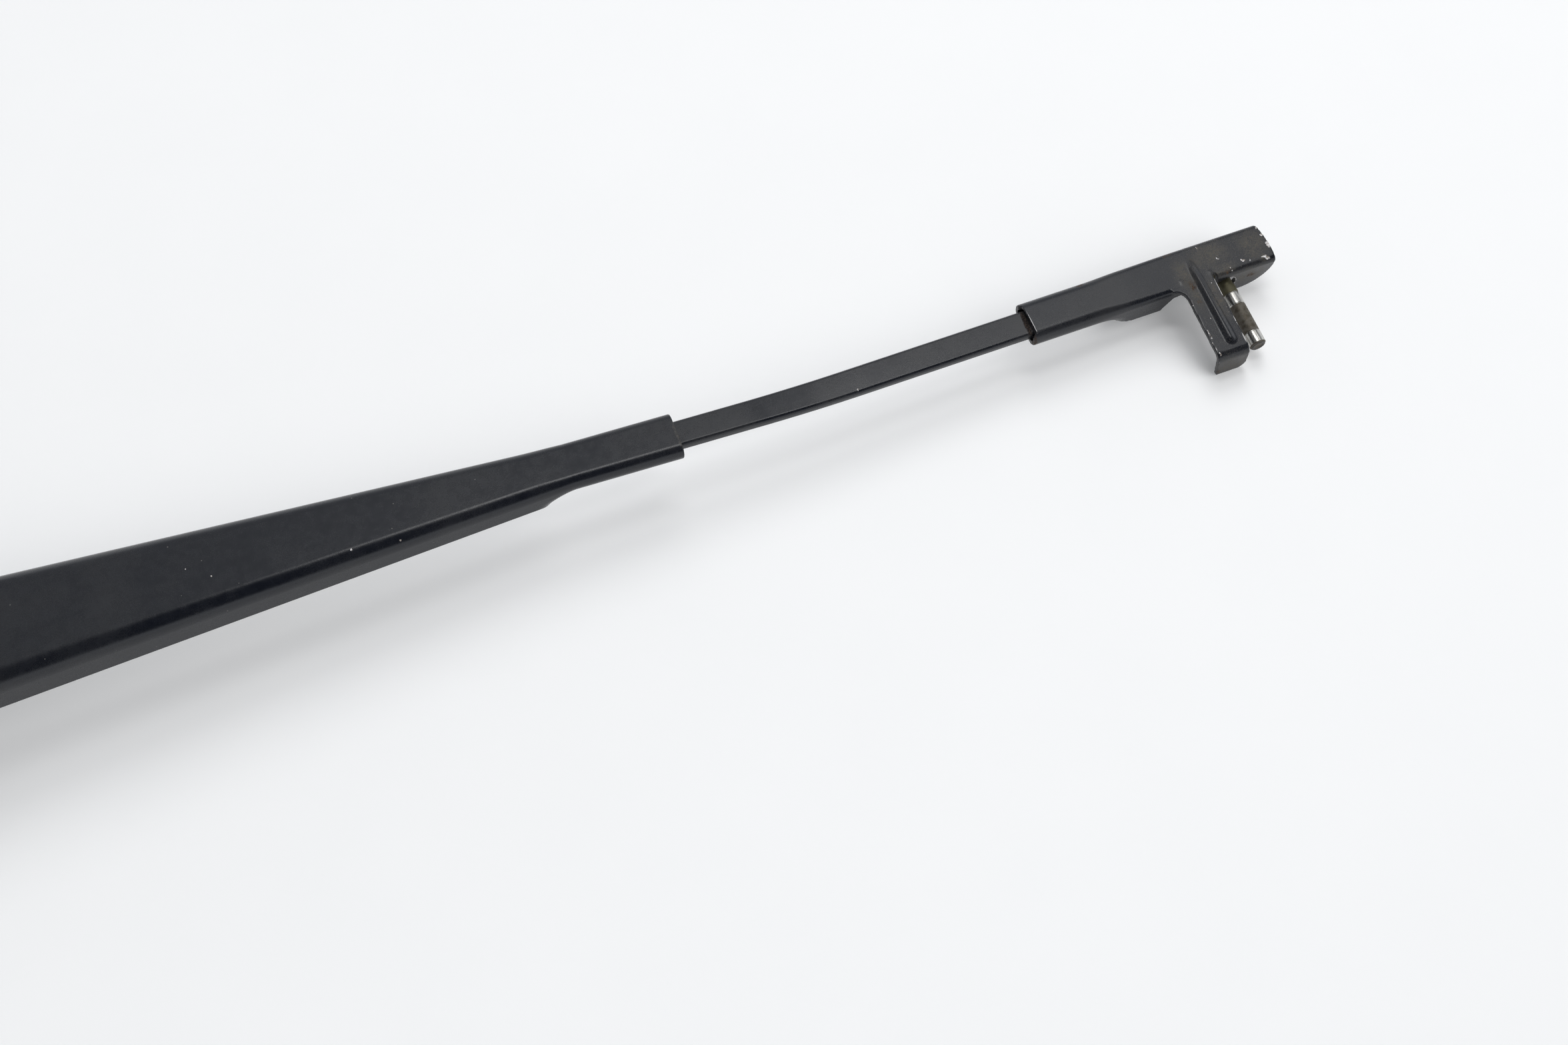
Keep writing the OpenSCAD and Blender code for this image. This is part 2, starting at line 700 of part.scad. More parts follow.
module mounting_head() {
    color(head_black)
        difference() {
            union() {
                cylinder(r = boss_r, h = boss_h, $fn = 96);
                plate_xz(-neck_half_w, neck_half_w)
                    intersection() {
                        neck_outline();
                        translate([2, -1]) square([pivot_x + eye_r, 2*pivot_z]);
                    }
                hinge_lug();
            }
            translate([0, 0, -1]) cylinder(r = lead_r, h = lead_h + 1);
            translate([0, 0, lead_h]) cylinder(r1 = taper_r, r2 = taper_top_r, h = taper_h);
            cylinder(r = thread_hole_r, h = boss_h);
            translate([0, 0, well_floor]) cylinder(r = well_r, h = boss_h);
            link_slot();
            translate([hinge_x, 0, hinge_z]) along_y(stub_r + running_gap, -boss_r, boss_r);
            pivot_frame() along_y(bush_r, -big, big);
            translate(hook_at) along_y(hook_pin_r, -neck_half_w + 1.5, neck_half_w - 1.5);
        }
}

module hook_pin() {
    color(zinc_grey)
        translate(hook_at) along_y(hook_pin_r, -neck_half_w + 1.5, neck_half_w - 1.5);
}

// Link: a flat strip with a C-shaped end, which clears the pivot pin as it swings
link_bore_r = hook_pin_r + running_gap;
pivot_reach = norm([hook_back, hook_down]) + pivot_pin_r + 0.4;
c_mid_r = pivot_reach + link_w/2;
c_end = 78;

module sector(r, a0, a1) {
    polygon(concat([[0, 0]], [for (k = [0:12]) let (a = mix(a0, a1, k/12)) 2*r*[cos(a), sin(a)]]));
}

module arc_strip(r, w, a0, a1) {
    intersection() {
        difference() {
            circle(r = r + w/2, $fn = 96);
            circle(r = r - w/2, $fn = 96);
        }
        sector(r + w, a0, a1);
    }
}

module link_outline() {
    hook_w = pivot_reach - 2*pivot_pin_r - 0.8 - link_bore_r;
    arc_strip(link_bore_r + hook_w/2, hook_w, 120, 290);
    // The strip leaves the hook downwards, runs round the pivot's path and rises
    rotate(-c_end) translate([link_bore_r, -link_w/2]) square([c_mid_r - link_bore_r, link_w]);
    rotate(-c_end) translate([c_mid_r, 0]) circle(r = link_w/2);
    arc_strip(c_mid_r, link_w, -c_end, 0);
    translate([c_mid_r - link_w/2, -link_w/2]) square([link_len - c_mid_r + link_w/2, link_w]);
    rotate(120) translate([link_bore_r + hook_w/2, 0]) circle(r = hook_w/2);
    translate([link_len, 0]) circle(r = link_w/2 + 1);
}

module spring_link() {
    color(zinc_grey)
        link_frame()
            difference() {
                plate_xz(-link_t/2, link_t/2) link_outline();
                translate([link_len, 0, 0]) along_y(wire_r + 0.25, -link_t, link_t);
                along_y(link_bore_r, -link_t, link_t);
            }
}

// Spring: one wire, hooked through the link, coiled, and hooked through the bar
turn_steps = 12;
hook_steps = 10;
coil_mid_r = coil_r - wire_r;
near_hook_r = link_w/2 + wire_r + 0.35;
coil_start = link_len + near_hook_r + 3;
coil_end = spring_len - coil_hook_r - 3;

// The near hook lies across the link, the far hook stands along the bar's end
near_hook = [for (k = [0:hook_steps])
    let (a = -150 + 240*k/hook_steps)
        [link_len + near_hook_r*cos(a) + near_hook_r - 0.2, near_hook_r*sin(a), 0]];
coil_path = [for (k = [0:coil_turns*turn_steps])
    let (a = 360*k/turn_steps + 90)
        [mix(coil_start, coil_end, k/(coil_turns*turn_steps)), coil_mid_r*cos(a - 90), coil_mid_r*sin(a - 90)]];
far_hook = [for (k = [0:hook_steps])
    let (a = 180 - 270*k/hook_steps)
        [spring_len + coil_hook_r*cos(a), 0, coil_hook_r*sin(a)]];
spring_path = concat(near_hook, coil_path, far_hook);

function tangent(path, i) = unit(path[min(i + 1, len(path) - 1)] - path[max(i - 1, 0)]);
function carried(n, t) = unit(n - (n*t)*t);
function wire_frames(path) =
    [for (i = 0, n = carried([0, 0.3, 1], tangent(path, 0));
          i < len(path);
          i = i + 1, n = i < len(path) ? carried(n, tangent(path, i)) : n)
        [path[i], n, cross(tangent(path, i), n)]];
function wire_ring(f, r, sides) =
    [for (k = [0:sides - 1]) f[0] + r*(cos(360*k/sides)*f[1] + sin(360*k/sides)*f[2])];

module spring() {
    color(zinc_grey)
        link_frame()
            lofted_bar([for (f = wire_frames(spring_path)) wire_ring(f, wire_r, 8)]);
}

// Cap: a moulded cover over the nut and the neck, hinged behind the boss
cap_front = pivot_x - cap_setback;
cap_half_w = neck_half_w + cap_gap + cap_t;
cap_top = pivot_z + 1.5 + cap_gap + cap_t;
cap_low = boss_h - 5;

module cap_outline(d) {
    // The side view, grown inwards by d
    back = -boss_r - cap_gap - cap_t + d;
    bevel = cap_t - d;
    polygon([[back, cap_low - 2*d], [back, boss_h + cap_gap], [back + bevel, boss_h + cap_gap + cap_t - d],
             [pivot_x - 36, boss_h + cap_gap + cap_t - d], [pivot_x - 23, cap_top - d],
             [cap_front + (d > 0 ? 5 : 0), cap_top - d], [cap_front + (d > 0 ? 5 : 0), cap_low + 6 - 2*d],
             [pivot_x - 34, cap_low - 2*d]]);
}

module cap_plan(d) {
    half = cap_half_w - d;
    intersection() {
        union() {
            circle(r = half, $fn = 96);
            translate([0, -half]) square([big + 20, 2*half]);
        }
        square([400, 400], center = true);
    }
}

module cap_solid(d) {
    intersection() {
        plate_xz(-cap_half_w, cap_half_w) cap_outline(d);
        translate([0, 0, -big]) linear_extrude(height = 3*big) cap_plan(d);
    }
}

module nut_cap() {
    color(cap_black) {
        difference() {
            cap_solid(0);
            cap_solid(cap_t);
            // Room for the lug behind the boss
            translate([hinge_x - 6, -lug_half_w - cap_gap, hinge_z - lug_r - 2])
                cube([lug_r + 12, 2*(lug_half_w + cap_gap), 2*lug_r + 3]);
        }
        for (s = [-1, 1])
            mirror([0, s < 0 ? 1 : 0, 0])
                difference() {
                    plate_xz(lug_half_w + cap_gap, lug_half_w + cap_gap + 2)
                        difference() {
                            union() {
                                translate([hinge_x, hinge_z]) circle(r = lug_r - 0.4);
                                translate([hinge_x - lug_r + 0.4, hinge_z]) square([lug_r + 2, 4.5]);
                            }
                            translate([-boss_r - cap_gap, 0]) square([boss_r, big]);
                        }
                    cylinder(r = boss_r + cap_gap, h = big, $fn = 96);
                }
        translate([hinge_x, 0, hinge_z]) along_y(stub_r, -lug_half_w - cap_gap - eps, lug_half_w + cap_gap + eps);
    }
}

mounting_head();
nut_cap();
pivot_pin();
pivot_bush_near();
pivot_bush_far();
hook_pin();
spring_link();
spring();
retainer();
bar();
end_bracket();
side_pin();
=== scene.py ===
import math

import bmesh
import bpy
import numpy as np
from mathutils import Matrix, Vector, noise


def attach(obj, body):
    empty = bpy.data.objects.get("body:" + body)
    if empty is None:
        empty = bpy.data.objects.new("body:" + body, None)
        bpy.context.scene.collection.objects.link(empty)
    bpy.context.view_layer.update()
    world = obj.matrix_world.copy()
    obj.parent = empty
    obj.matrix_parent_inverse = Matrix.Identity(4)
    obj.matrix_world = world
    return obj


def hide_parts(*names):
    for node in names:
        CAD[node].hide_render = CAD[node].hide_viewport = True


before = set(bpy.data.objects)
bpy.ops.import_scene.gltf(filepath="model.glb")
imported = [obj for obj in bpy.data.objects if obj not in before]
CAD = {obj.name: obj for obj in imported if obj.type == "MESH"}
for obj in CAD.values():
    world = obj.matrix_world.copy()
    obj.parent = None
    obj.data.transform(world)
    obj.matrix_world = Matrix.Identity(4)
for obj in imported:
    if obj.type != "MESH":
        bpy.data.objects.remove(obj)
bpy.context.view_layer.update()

# Units and frames: every length below is in mm unless it says metres
MM = 0.001
scene = bpy.context.scene


def mm(*v):
    return Vector(v) * MM


def turn(axis, degrees):
    return Matrix.Rotation(math.radians(degrees), 4, axis)


def at(*v):
    return Matrix.Translation(mm(*v))


# Frames: the head, the arm from its pivot, the bracket on the bent bar, and the link from its pin
PIVOT = (58, 0, 25.2)
HOOK_PIN = (54.5, 0, 18.7)
BAR_BEND = (241.5, 0, 5.4)
BRACKET_FROM_BEND = 65.9
HEAD = Matrix.Identity(4)
ARM = at(*PIVOT) @ turn("Y", 3.545)
BENT_BAR = ARM @ at(*BAR_BEND) @ turn("Z", 2.4) @ turn("Y", -0.6) @ turn("X", 5.1)
BRACKET = BENT_BAR @ at(BRACKET_FROM_BEND, 0, 0)
LINK = at(*HOOK_PIN) @ turn("Y", -0.0939095)

# Sizes that more than one piece uses
SHEET = 1.3
BRACKET_W = 12.5
NEAR_Y = -BRACKET_W / 2
BRACKET_TOP = 2.8
PIN_AT, PIN_Z = 59.9, -2.8


def clamp01(t):
    return min(max(t, 0.0), 1.0)


def smooth(t):
    t = clamp01(t)
    return t * t * (3 - 2 * t)


def mix(a, b, t):
    return a + (b - a) * t


# Mesh helpers
def new_object(name, data):
    obj = bpy.data.objects.new(name, data)
    scene.collection.objects.link(obj)
    return obj


def mesh_from(name, points, faces):
    mesh = bpy.data.meshes.new(name)
    mesh.from_pydata([tuple(p) for p in points], [], faces)
    mesh.update()
    return mesh


def shade_smooth(obj):
    obj.data.polygons.foreach_set("use_smooth", [True] * len(obj.data.polygons))


def cad_copy(node, name, flat_angle=0.3):
    """A welded copy of a CAD node's mesh, with its flat faces joined."""
    source = CAD[node].data
    mesh = mesh_from(name, [v.co for v in source.vertices], [tuple(p.vertices) for p in source.polygons])
    bm = bmesh.new()
    bm.from_mesh(mesh)
    bmesh.ops.remove_doubles(bm, verts=bm.verts, dist=0.002 * MM)
    bmesh.ops.dissolve_degenerate(bm, edges=bm.edges, dist=0.002 * MM)
    if flat_angle:
        bmesh.ops.dissolve_limit(bm, angle_limit=math.radians(flat_angle), verts=bm.verts, edges=bm.edges)
    bmesh.ops.recalc_face_normals(bm, faces=bm.faces)
    bm.to_mesh(mesh)
    bm.free()
    return new_object(name, mesh)


def even_normals(obj):
    n = obj.modifiers.new("even_normals", "WEIGHTED_NORMAL")
    n.weight = 80


def bevel(obj, width, segments=3, angle=40):
    m = obj.modifiers.new("soft_edges", "BEVEL")
    m.width = width * MM
    m.segments = segments
    m.limit_method = "ANGLE"
    m.angle_limit = math.radians(angle)
    m.use_clamp_overlap = True
    even_normals(obj)
    shade_smooth(obj)


def baked(obj):
    """Turns the object's modifiers into plain mesh."""
    bpy.context.view_layer.update()
    mesh = bpy.data.meshes.new_from_object(obj.evaluated_get(bpy.context.evaluated_depsgraph_get()))
    obj.modifiers.clear()
    obj.data = mesh


def cut(obj, tool):
    """Cuts the tool away, and tries the next solver if one loses most of the mesh."""
    whole = obj.data.copy()
    for solver in ("EXACT", "MANIFOLD", "FAST"):
        m = obj.modifiers.new("cut", "BOOLEAN")
        m.operation = "DIFFERENCE"
        m.solver = solver
        m.object = tool
        baked(obj)
        if len(obj.data.vertices) > 0.3 * len(whole.vertices):
            break
        obj.data = whole.copy()
    bpy.data.objects.remove(tool)


def remesh(obj, voxel):
    m = obj.modifiers.new("remesh", "REMESH")
    m.mode = "VOXEL"
    m.voxel_size = voxel * MM
    baked(obj)


def coordinates(mesh):
    co = np.zeros(len(mesh.vertices) * 3)
    mesh.vertices.foreach_get("co", co)
    return co.reshape(-1, 3)


def set_coordinates(mesh, co):
    mesh.vertices.foreach_set("co", co.ravel())
    mesh.update()


def frame_of(obj, matrix):
    """Moves the mesh's points from the given frame into the scene's."""
    co = coordinates(obj.data)
    m = np.array(matrix)
    set_coordinates(obj.data, co @ m[:3, :3].T + m[:3, 3])


def normals(mesh):
    n = np.zeros(len(mesh.vertices) * 3)
    mesh.vertices.foreach_get("normal", n)
    return n.reshape(-1, 3)


def relax(mesh, rounds):
    """Smooths the mesh; each inward step is undone by an outward one, which keeps the volume."""
    edges = np.zeros(len(mesh.edges) * 2, np.int32)
    mesh.edges.foreach_get("vertices", edges)
    a, b = edges.reshape(-1, 2).T
    co = coordinates(mesh)
    count = np.bincount(a, minlength=len(co)) + np.bincount(b, minlength=len(co))
    for _ in range(rounds):
        for step in (0.5, -0.52):
            total = np.zeros_like(co)
            for axis in range(3):
                total[:, axis] = np.bincount(a, co[b, axis], len(co)) + np.bincount(b, co[a, axis], len(co))
            co += step * (total / np.maximum(count, 1)[:, None] - co)
    set_coordinates(mesh, co)


def lofted(name, rings, closed_ends=True):
    """A skin through rings of equal length, each a closed loop."""
    m = len(rings[0])
    points = [p for ring in rings for p in ring]
    faces = []
    for k in range(len(rings) - 1):
        for j in range(m):
            a, b = k * m + j, k * m + (j + 1) % m
            faces.append((a, b, b + m, a + m))
    if closed_ends:
        faces.append(tuple(range(m - 1, -1, -1)))
        faces.append(tuple(len(points) - m + j for j in range(m)))
    return mesh_from(name, points, faces)


def fix_normals(mesh):
    bm = bmesh.new()
    bm.from_mesh(mesh)
    bmesh.ops.recalc_face_normals(bm, faces=bm.faces)
    bm.to_mesh(mesh)
    bm.free()


def turned(name, matrix, profile, sides=96):
    """A solid of revolution about the frame's Y axis; the profile is pairs of y and radius."""
    turns = [2 * math.pi * k / sides for k in range(sides)]
    rings = [[matrix @ mm(r * math.cos(a), y, r * math.sin(a)) for a in turns] for y, r in profile]
    mesh = lofted(name, rings)
    fix_normals(mesh)
    return new_object(name, mesh)


# Folded sheet: the section of the channel from its top face to the lip
EDGE_STEPS = 14
FOLD_STEPS = 10
CRIMP_R = 2.75


def half_section(width, top, r, depth, fold):
    """Points of the half section and their outward normals; fold goes from 0, open, to 1, crimped."""
    rest = depth - r
    wall = mix(0.45 * rest, 0.1, fold)
    fold_len = mix(0.45 * rest, CRIMP_R * math.pi / 2, fold)
    lip = mix(0.1 * rest, width / 2 - CRIMP_R - 0.4, fold)
    out = [((0.5 * (width / 2 - r), top), (0, 1))]
    for k in range(EDGE_STEPS + 1):
        a = math.pi / 2 * (1 - k / EDGE_STEPS)
        n = Vector((math.cos(a), math.sin(a))).normalized()
        out.append(((width / 2 - r + r * math.cos(a), top - r + r * math.sin(a)), tuple(n)))
    z = top - r - wall
    total = math.pi / 2 * fold
    for k in range(FOLD_STEPS + 1):
        a, ln = total * k / FOLD_STEPS, fold_len * k / FOLD_STEPS
        if a < 0.008:
            p = (width / 2, z - ln)
        else:
            p = (width / 2 - ln * (1 - math.cos(a)) / a, z - ln * math.sin(a) / a)
        out.append((p, (math.cos(a), -math.sin(a))))
    (y, zz), n = out[-1]
    out.append(((y - lip * math.sin(total), zz - lip * math.cos(total)), n))
    return out


def section_ring(x, half, inset):
    """The closed ring of a section at x; inset pulls both faces into the sheet."""
    line = [((-y, z), (-ny, nz)) for (y, z), (ny, nz) in reversed(half)] + half
    ring = [mm(x, p[0] - inset * n[0], p[1] - inset * n[1]) for p, n in line]
    t = SHEET - inset
    ring += [mm(x, p[0] - t * n[0], p[1] - t * n[1]) for p, n in reversed(line)]
    return ring


def sheet_mesh(name, stations, half_at):
    """A folded sheet swept along x; stations are pairs of x and inset."""
    rings = [section_ring(x, half_at(x), inset) for x, inset in stations]
    m = len(rings[0])
    mesh = lofted(name, rings, closed_ends=False)
    faces = [tuple(p.vertices) for p in mesh.polygons]
    half = m // 2
    last = (len(rings) - 1) * m
    for j in range(half - 1):
        faces.append((j, m - 1 - j, m - 2 - j, j + 1))
        faces.append((last + j, last + j + 1, last + m - 2 - j, last + m - 1 - j))
    out = mesh_from(name, [v.co for v in mesh.vertices], faces)
    bpy.data.meshes.remove(mesh)
    fix_normals(out)
    return out


# Retainer
RETAINER_LEN, CRIMP_X, TAPER_START = 205.0, 175.0, 17.0
ROLL_LEN, GRIP_LEN, EAR_LEN, EAR_R, EAR_BORE = 11, 28, 12, 7.6, 2.5
TOP_H, TOP_FROM, TOP_CUT_Z = 8.2, -1.5, 4.8
REAR_W, TIP_W = 33, 13.4
REAR_WALL, TIP_WALL = 12, 7.1
EAR_EDGE, REAR_EDGE, TIP_EDGE = 3.4, 5.2, 3.2
TIP_ROUNDING = ((0.38, 0.0), (0.2, 0.05), (0.07, 0.15), (0.0, 0.32))


def retainer_half(x):
    t = clamp01((x - TAPER_START) / (CRIMP_X - TAPER_START))
    fold = smooth((x - CRIMP_X + ROLL_LEN) / ROLL_LEN)
    back = smooth((x - TAPER_START + EAR_LEN) / EAR_LEN)
    if x > TAPER_START:
        depth, r = mix(REAR_WALL, TIP_WALL, t), mix(mix(REAR_EDGE, TIP_EDGE, t), CRIMP_R, fold)
    else:
        depth, r = mix(TOP_H + EAR_R, REAR_WALL, back), mix(EAR_EDGE, REAR_EDGE, back)
    return half_section(mix(REAR_W, TIP_W, t), TOP_H, r, depth, fold)


def block_tool(side, centre):
    """A cube of the given side."""
    bm = bmesh.new()
    bmesh.ops.create_cube(bm, size=1)
    scale = side * MM
    bmesh.ops.transform(bm, verts=bm.verts, matrix=at(*centre) @ Matrix.Diagonal((scale, scale, scale, 1)))
    mesh = bpy.data.meshes.new("tool")
    bm.to_mesh(mesh)
    bm.free()
    return new_object("tool", mesh)


def ear_tool(reach, steps=96):
    """All that lies behind the pivot and outside the ears' round ends."""
    turns = [math.pi / 2 + math.pi * k / steps for k in range(steps + 1)]
    outline = [(0, reach), (-reach, reach), (-reach, -reach), (0, -reach)]
    outline += [(EAR_R * math.cos(a), EAR_R * math.sin(a)) for a in reversed(turns)]
    tool = new_object("tool", lofted("tool", [[mm(x, y, z) for x, z in outline] for y in (-reach, reach)]))
    fix_normals(tool.data)
    return tool


def make_retainer():
    roll_x = CRIMP_X - ROLL_LEN
    xs = [-EAR_R - 0.5] + [TAPER_START - EAR_LEN + k for k in range(EAR_LEN + 1)]
    xs += [TAPER_START + (roll_x - TAPER_START) * k / 24 for k in range(1, 24)]
    xs += [roll_x + ROLL_LEN * k / 16 for k in range(17)]
    xs += [CRIMP_X + GRIP_LEN * k / 6 for k in range(1, 7)]
    stations = [(x, 0.0) for x in xs] + [(RETAINER_LEN - back, inset) for back, inset in TIP_ROUNDING]
    obj = new_object("retainer_sheet", sheet_mesh("retainer_sheet", stations, retainer_half))
    # The rear end: the top stops over the pivot, and the walls end in round ears with a bore
    half = 30
    cut(obj, block_tool(2 * half, (TOP_FROM - half, 0, TOP_CUT_Z + half)))
    cut(obj, ear_tool(half))
    cut(obj, turned("tool", Matrix.Identity(4), [(-half, EAR_BORE), (half, EAR_BORE)], 64))
    frame_of(obj, ARM)
    bevel(obj, width=0.28, angle=50)
    return obj


# End bracket
BRACKET_VOXEL = 0.24
TAB_DROOP = 2.7
BEAD_X, BEAD_IN, BEAD_OUT = 50.75, 1.9, -25.7
BEAD_H, BEAD_HALF, BEAD_SPREAD, BEAD_DRIFT = 0.82, 1.55, 0.45, 0.02
BEAD_RISE, BEAD_END, BEAD_LAND = 8, 2.2, 4.3
MOUTH_RUN, MOUTH_LOW, MOUTH_HALF = 1.6, 0.9, 5.4


def press_bead(co, n, droop):
    """A round-ended ridge on the tab's flat, which runs out softly on the bracket's top."""
    x, y, z = co.T
    aside = x - BEAD_X - BEAD_DRIFT * (BEAD_IN - y)
    grow = np.clip((BEAD_IN + 1.5 - y) / BEAD_RISE, 0, 1)
    half = BEAD_HALF + BEAD_SPREAD * np.clip(-y / 22, 0, 1)
    past = np.minimum(0, y - BEAD_OUT - 1.6)
    reach = np.hypot(aside / half, past / BEAD_END)
    ridge = np.where(reach < 1, np.cos(np.minimum(reach, 1) * math.pi / 2) ** 2, 0)
    # Only the upper face moves, and the change fades towards the bead's land
    here = np.clip((n[:, 2] - 0.25) / 0.2, 0, 1) * (z > 0.6 - droop)
    here *= np.clip((BEAD_LAND - np.abs(aside)) / 1.2, 0, 1)
    here *= np.clip((y - BEAD_OUT + 2.1) / 0.8, 0, 1) * np.clip((BEAD_IN + 3.5 - y) / 1.5, 0, 1)
    made = BRACKET_TOP - droop + BEAD_H * grow * grow * (3 - 2 * grow) * ridge
    co[:, 2] += here * (made - z)


def cut_back_mouth(co):
    """The mouth's top edge is cut back and slightly ragged, apart from its corners."""
    for i in np.where((co[:, 0] < MOUTH_RUN) & (co[:, 2] > MOUTH_LOW))[0]:
        q = Vector(co[i])
        rough = 0.85 + 0.35 * noise.noise(q * 0.45) + 0.10 * noise.noise(q * 1.6)
        middle = smooth((MOUTH_HALF - abs(q.y)) / 1.4) * smooth((q.z - MOUTH_LOW) / 0.6)
        co[i, 0] += middle * max(0.0, rough) * (1 - clamp01(q.x / MOUTH_RUN))


def make_bracket():
    obj = cad_copy("end_bracket", "bracket_sheet", 0)
    frame_of(obj, BRACKET.inverted())
    remesh(obj, BRACKET_VOXEL)
    mesh = obj.data
    relax(mesh, 7)
    co, n = coordinates(mesh) / MM, normals(mesh)
    press_bead(co, n, np.maximum(0, NEAR_Y - co[:, 1]) * math.tan(math.radians(TAB_DROOP)))
    cut_back_mouth(co)
    set_coordinates(mesh, co * MM)
    relax(mesh, 1)
    frame_of(obj, BRACKET)
    shade_smooth(obj)
    return obj


# Side pin
PIN_LEN, PIN_R, NECK_R, NECK_LEN = 21, 2.4, 2.2, 1.4
PIN_GROOVES, GROOVE_DEPTH, GROOVE_HALF = (16.75, 7.6, 3.8), 0.1, 0.22
FAR_WALL_OUT, TAIL_SHANK_R = BRACKET_W / 2, 1.8
FAR_WALL_IN = FAR_WALL_OUT - SHEET


def rounded_profile(corners, fillet, steps=4):
    """Rounds the corners of a profile; corners are y, r and an optional own fillet."""
    out = [corners[0][:2]]
    for k in range(1, len(corners) - 1):
        p, q, s = (Vector(corners[i][:2]) for i in (k - 1, k, k + 1))
        f = corners[k][2] if len(corners[k]) > 2 else fillet
        f = min(f, 0.45 * (p - q).length, 0.45 * (s - q).length)
        a, b = q + (p - q).normalized() * f, q + (s - q).normalized() * f
        for i in range(steps + 1):
            t = i / steps
            out.append(tuple(a * (1 - t) ** 2 + q * 2 * t * (1 - t) + b * t * t))
    out.append(corners[-1][:2])
    return out


def make_side_pin():
    end, neck, axis = NEAR_Y - PIN_LEN, NEAR_Y - NECK_LEN, 0.001
    # The free end, with a dimple and a chamfer
    corners = [(end + 0.25, axis), (end + 0.25, 1.1, 0.2), (end, 1.5, 0.1), (end, 1.9, 0.05)]
    corners += [(end + 0.5, PIN_R, 0.15)]
    for out in PIN_GROOVES:
        y, floor_r = NEAR_Y - out, PIN_R - GROOVE_DEPTH
        corners += [(y - GROOVE_HALF, PIN_R, 0.03), (y - 0.1, floor_r, 0.05)]
        corners += [(y + 0.1, floor_r, 0.05), (y + GROOVE_HALF, PIN_R, 0.03)]
    # The neck runs through the near wall up to the far one, and a thinner shank goes through that
    corners += [(neck, PIN_R, 0.12), (neck, NECK_R, 0.02), (FAR_WALL_IN, NECK_R, 0.02)]
    corners += [(FAR_WALL_IN, TAIL_SHANK_R, 0.02), (FAR_WALL_OUT, TAIL_SHANK_R, 0.02)]
    # The riveted tail
    corners += [(FAR_WALL_OUT, 2.8, 0.1), (FAR_WALL_OUT + 0.35, 2.65, 0.2)]
    corners += [(FAR_WALL_OUT + 0.7, 1.9, 0.3), (FAR_WALL_OUT + 0.7, axis)]
    obj = turned("side_pin_turned", BRACKET @ at(PIN_AT, 0, PIN_Z), rounded_profile(corners, 0.1))
    shade_smooth(obj)
    even_normals(obj)
    return obj


# Spring: a coil with its near hook, and a far hook whose shank slides in the coil
LINK_LEN, SPRING_LEN = 62, 124.342
COIL_START, COIL_END, COIL_R, TURNS, TURN_STEPS = 67.65, 118.142, 3.4, 26, 24
WIRE_R, NEAR_HOOK_R, FAR_HOOK_R = 0.8, 2.65, 3.2


def wire(name, points):
    """A round wire through points in the link's frame."""
    curve = bpy.data.curves.new(name, "CURVE")
    curve.dimensions = "3D"
    curve.bevel_depth = WIRE_R * MM
    curve.bevel_resolution = 5
    curve.use_fill_caps = True
    spline = curve.splines.new("POLY")
    spline.points.add(len(points) - 1)
    for sp, p in zip(spline.points, points):
        sp.co = (*(LINK @ mm(*p)), 1)
    obj = new_object(name, curve)
    mesh = bpy.data.meshes.new_from_object(obj)
    bpy.data.objects.remove(obj)
    out = new_object(name, mesh)
    shade_smooth(out)
    return out


def make_spring():
    near, near_x = [], LINK_LEN + NEAR_HOOK_R - 0.2
    for k in range(29):
        a = math.radians(-150 + 240 * k / 28)
        near.append((near_x + NEAR_HOOK_R * math.cos(a), NEAR_HOOK_R * math.sin(a), 0))
    coil = []
    steps = TURNS * TURN_STEPS
    for k in range(steps + 1):
        a = 2 * math.pi * k / TURN_STEPS
        coil.append((mix(COIL_START, COIL_END, k / steps), COIL_R * math.cos(a), COIL_R * math.sin(a)))
    far = [(COIL_END - 9, 0, 0), (COIL_END - 3, 0, 0), (COIL_END - 0.6, 0, 0)]
    for k in range(31):
        a = math.radians(180 - 270 * k / 30)
        far.append((SPRING_LEN + FAR_HOOK_R * math.cos(a), 0, FAR_HOOK_R * math.sin(a)))
    return wire("spring_coil", near + coil), wire("spring_hook", far)


# Materials
def add(nt, kind, inputs=None, **props):
    n = nt.nodes.new("ShaderNode" + kind)
    for k, v in props.items():
        setattr(n, k, v)
    for k, v in (inputs or {}).items():
        if isinstance(v, bpy.types.NodeSocket):
            nt.links.new(v, n.inputs[k])
        else:
            n.inputs[k].default_value = v
    return n


def soft_ramp(nt, value, low, high, out0=0.0, out1=1.0):
    """From out0 to out1 as the value goes from low to high, softly at both ends."""
    inputs = {"Value": value, "From Min": low, "From Max": high, "To Min": out0, "To Max": out1}
    return add(nt, "MapRange", inputs, interpolation_type="SMOOTHSTEP", clamp=True).outputs[0]


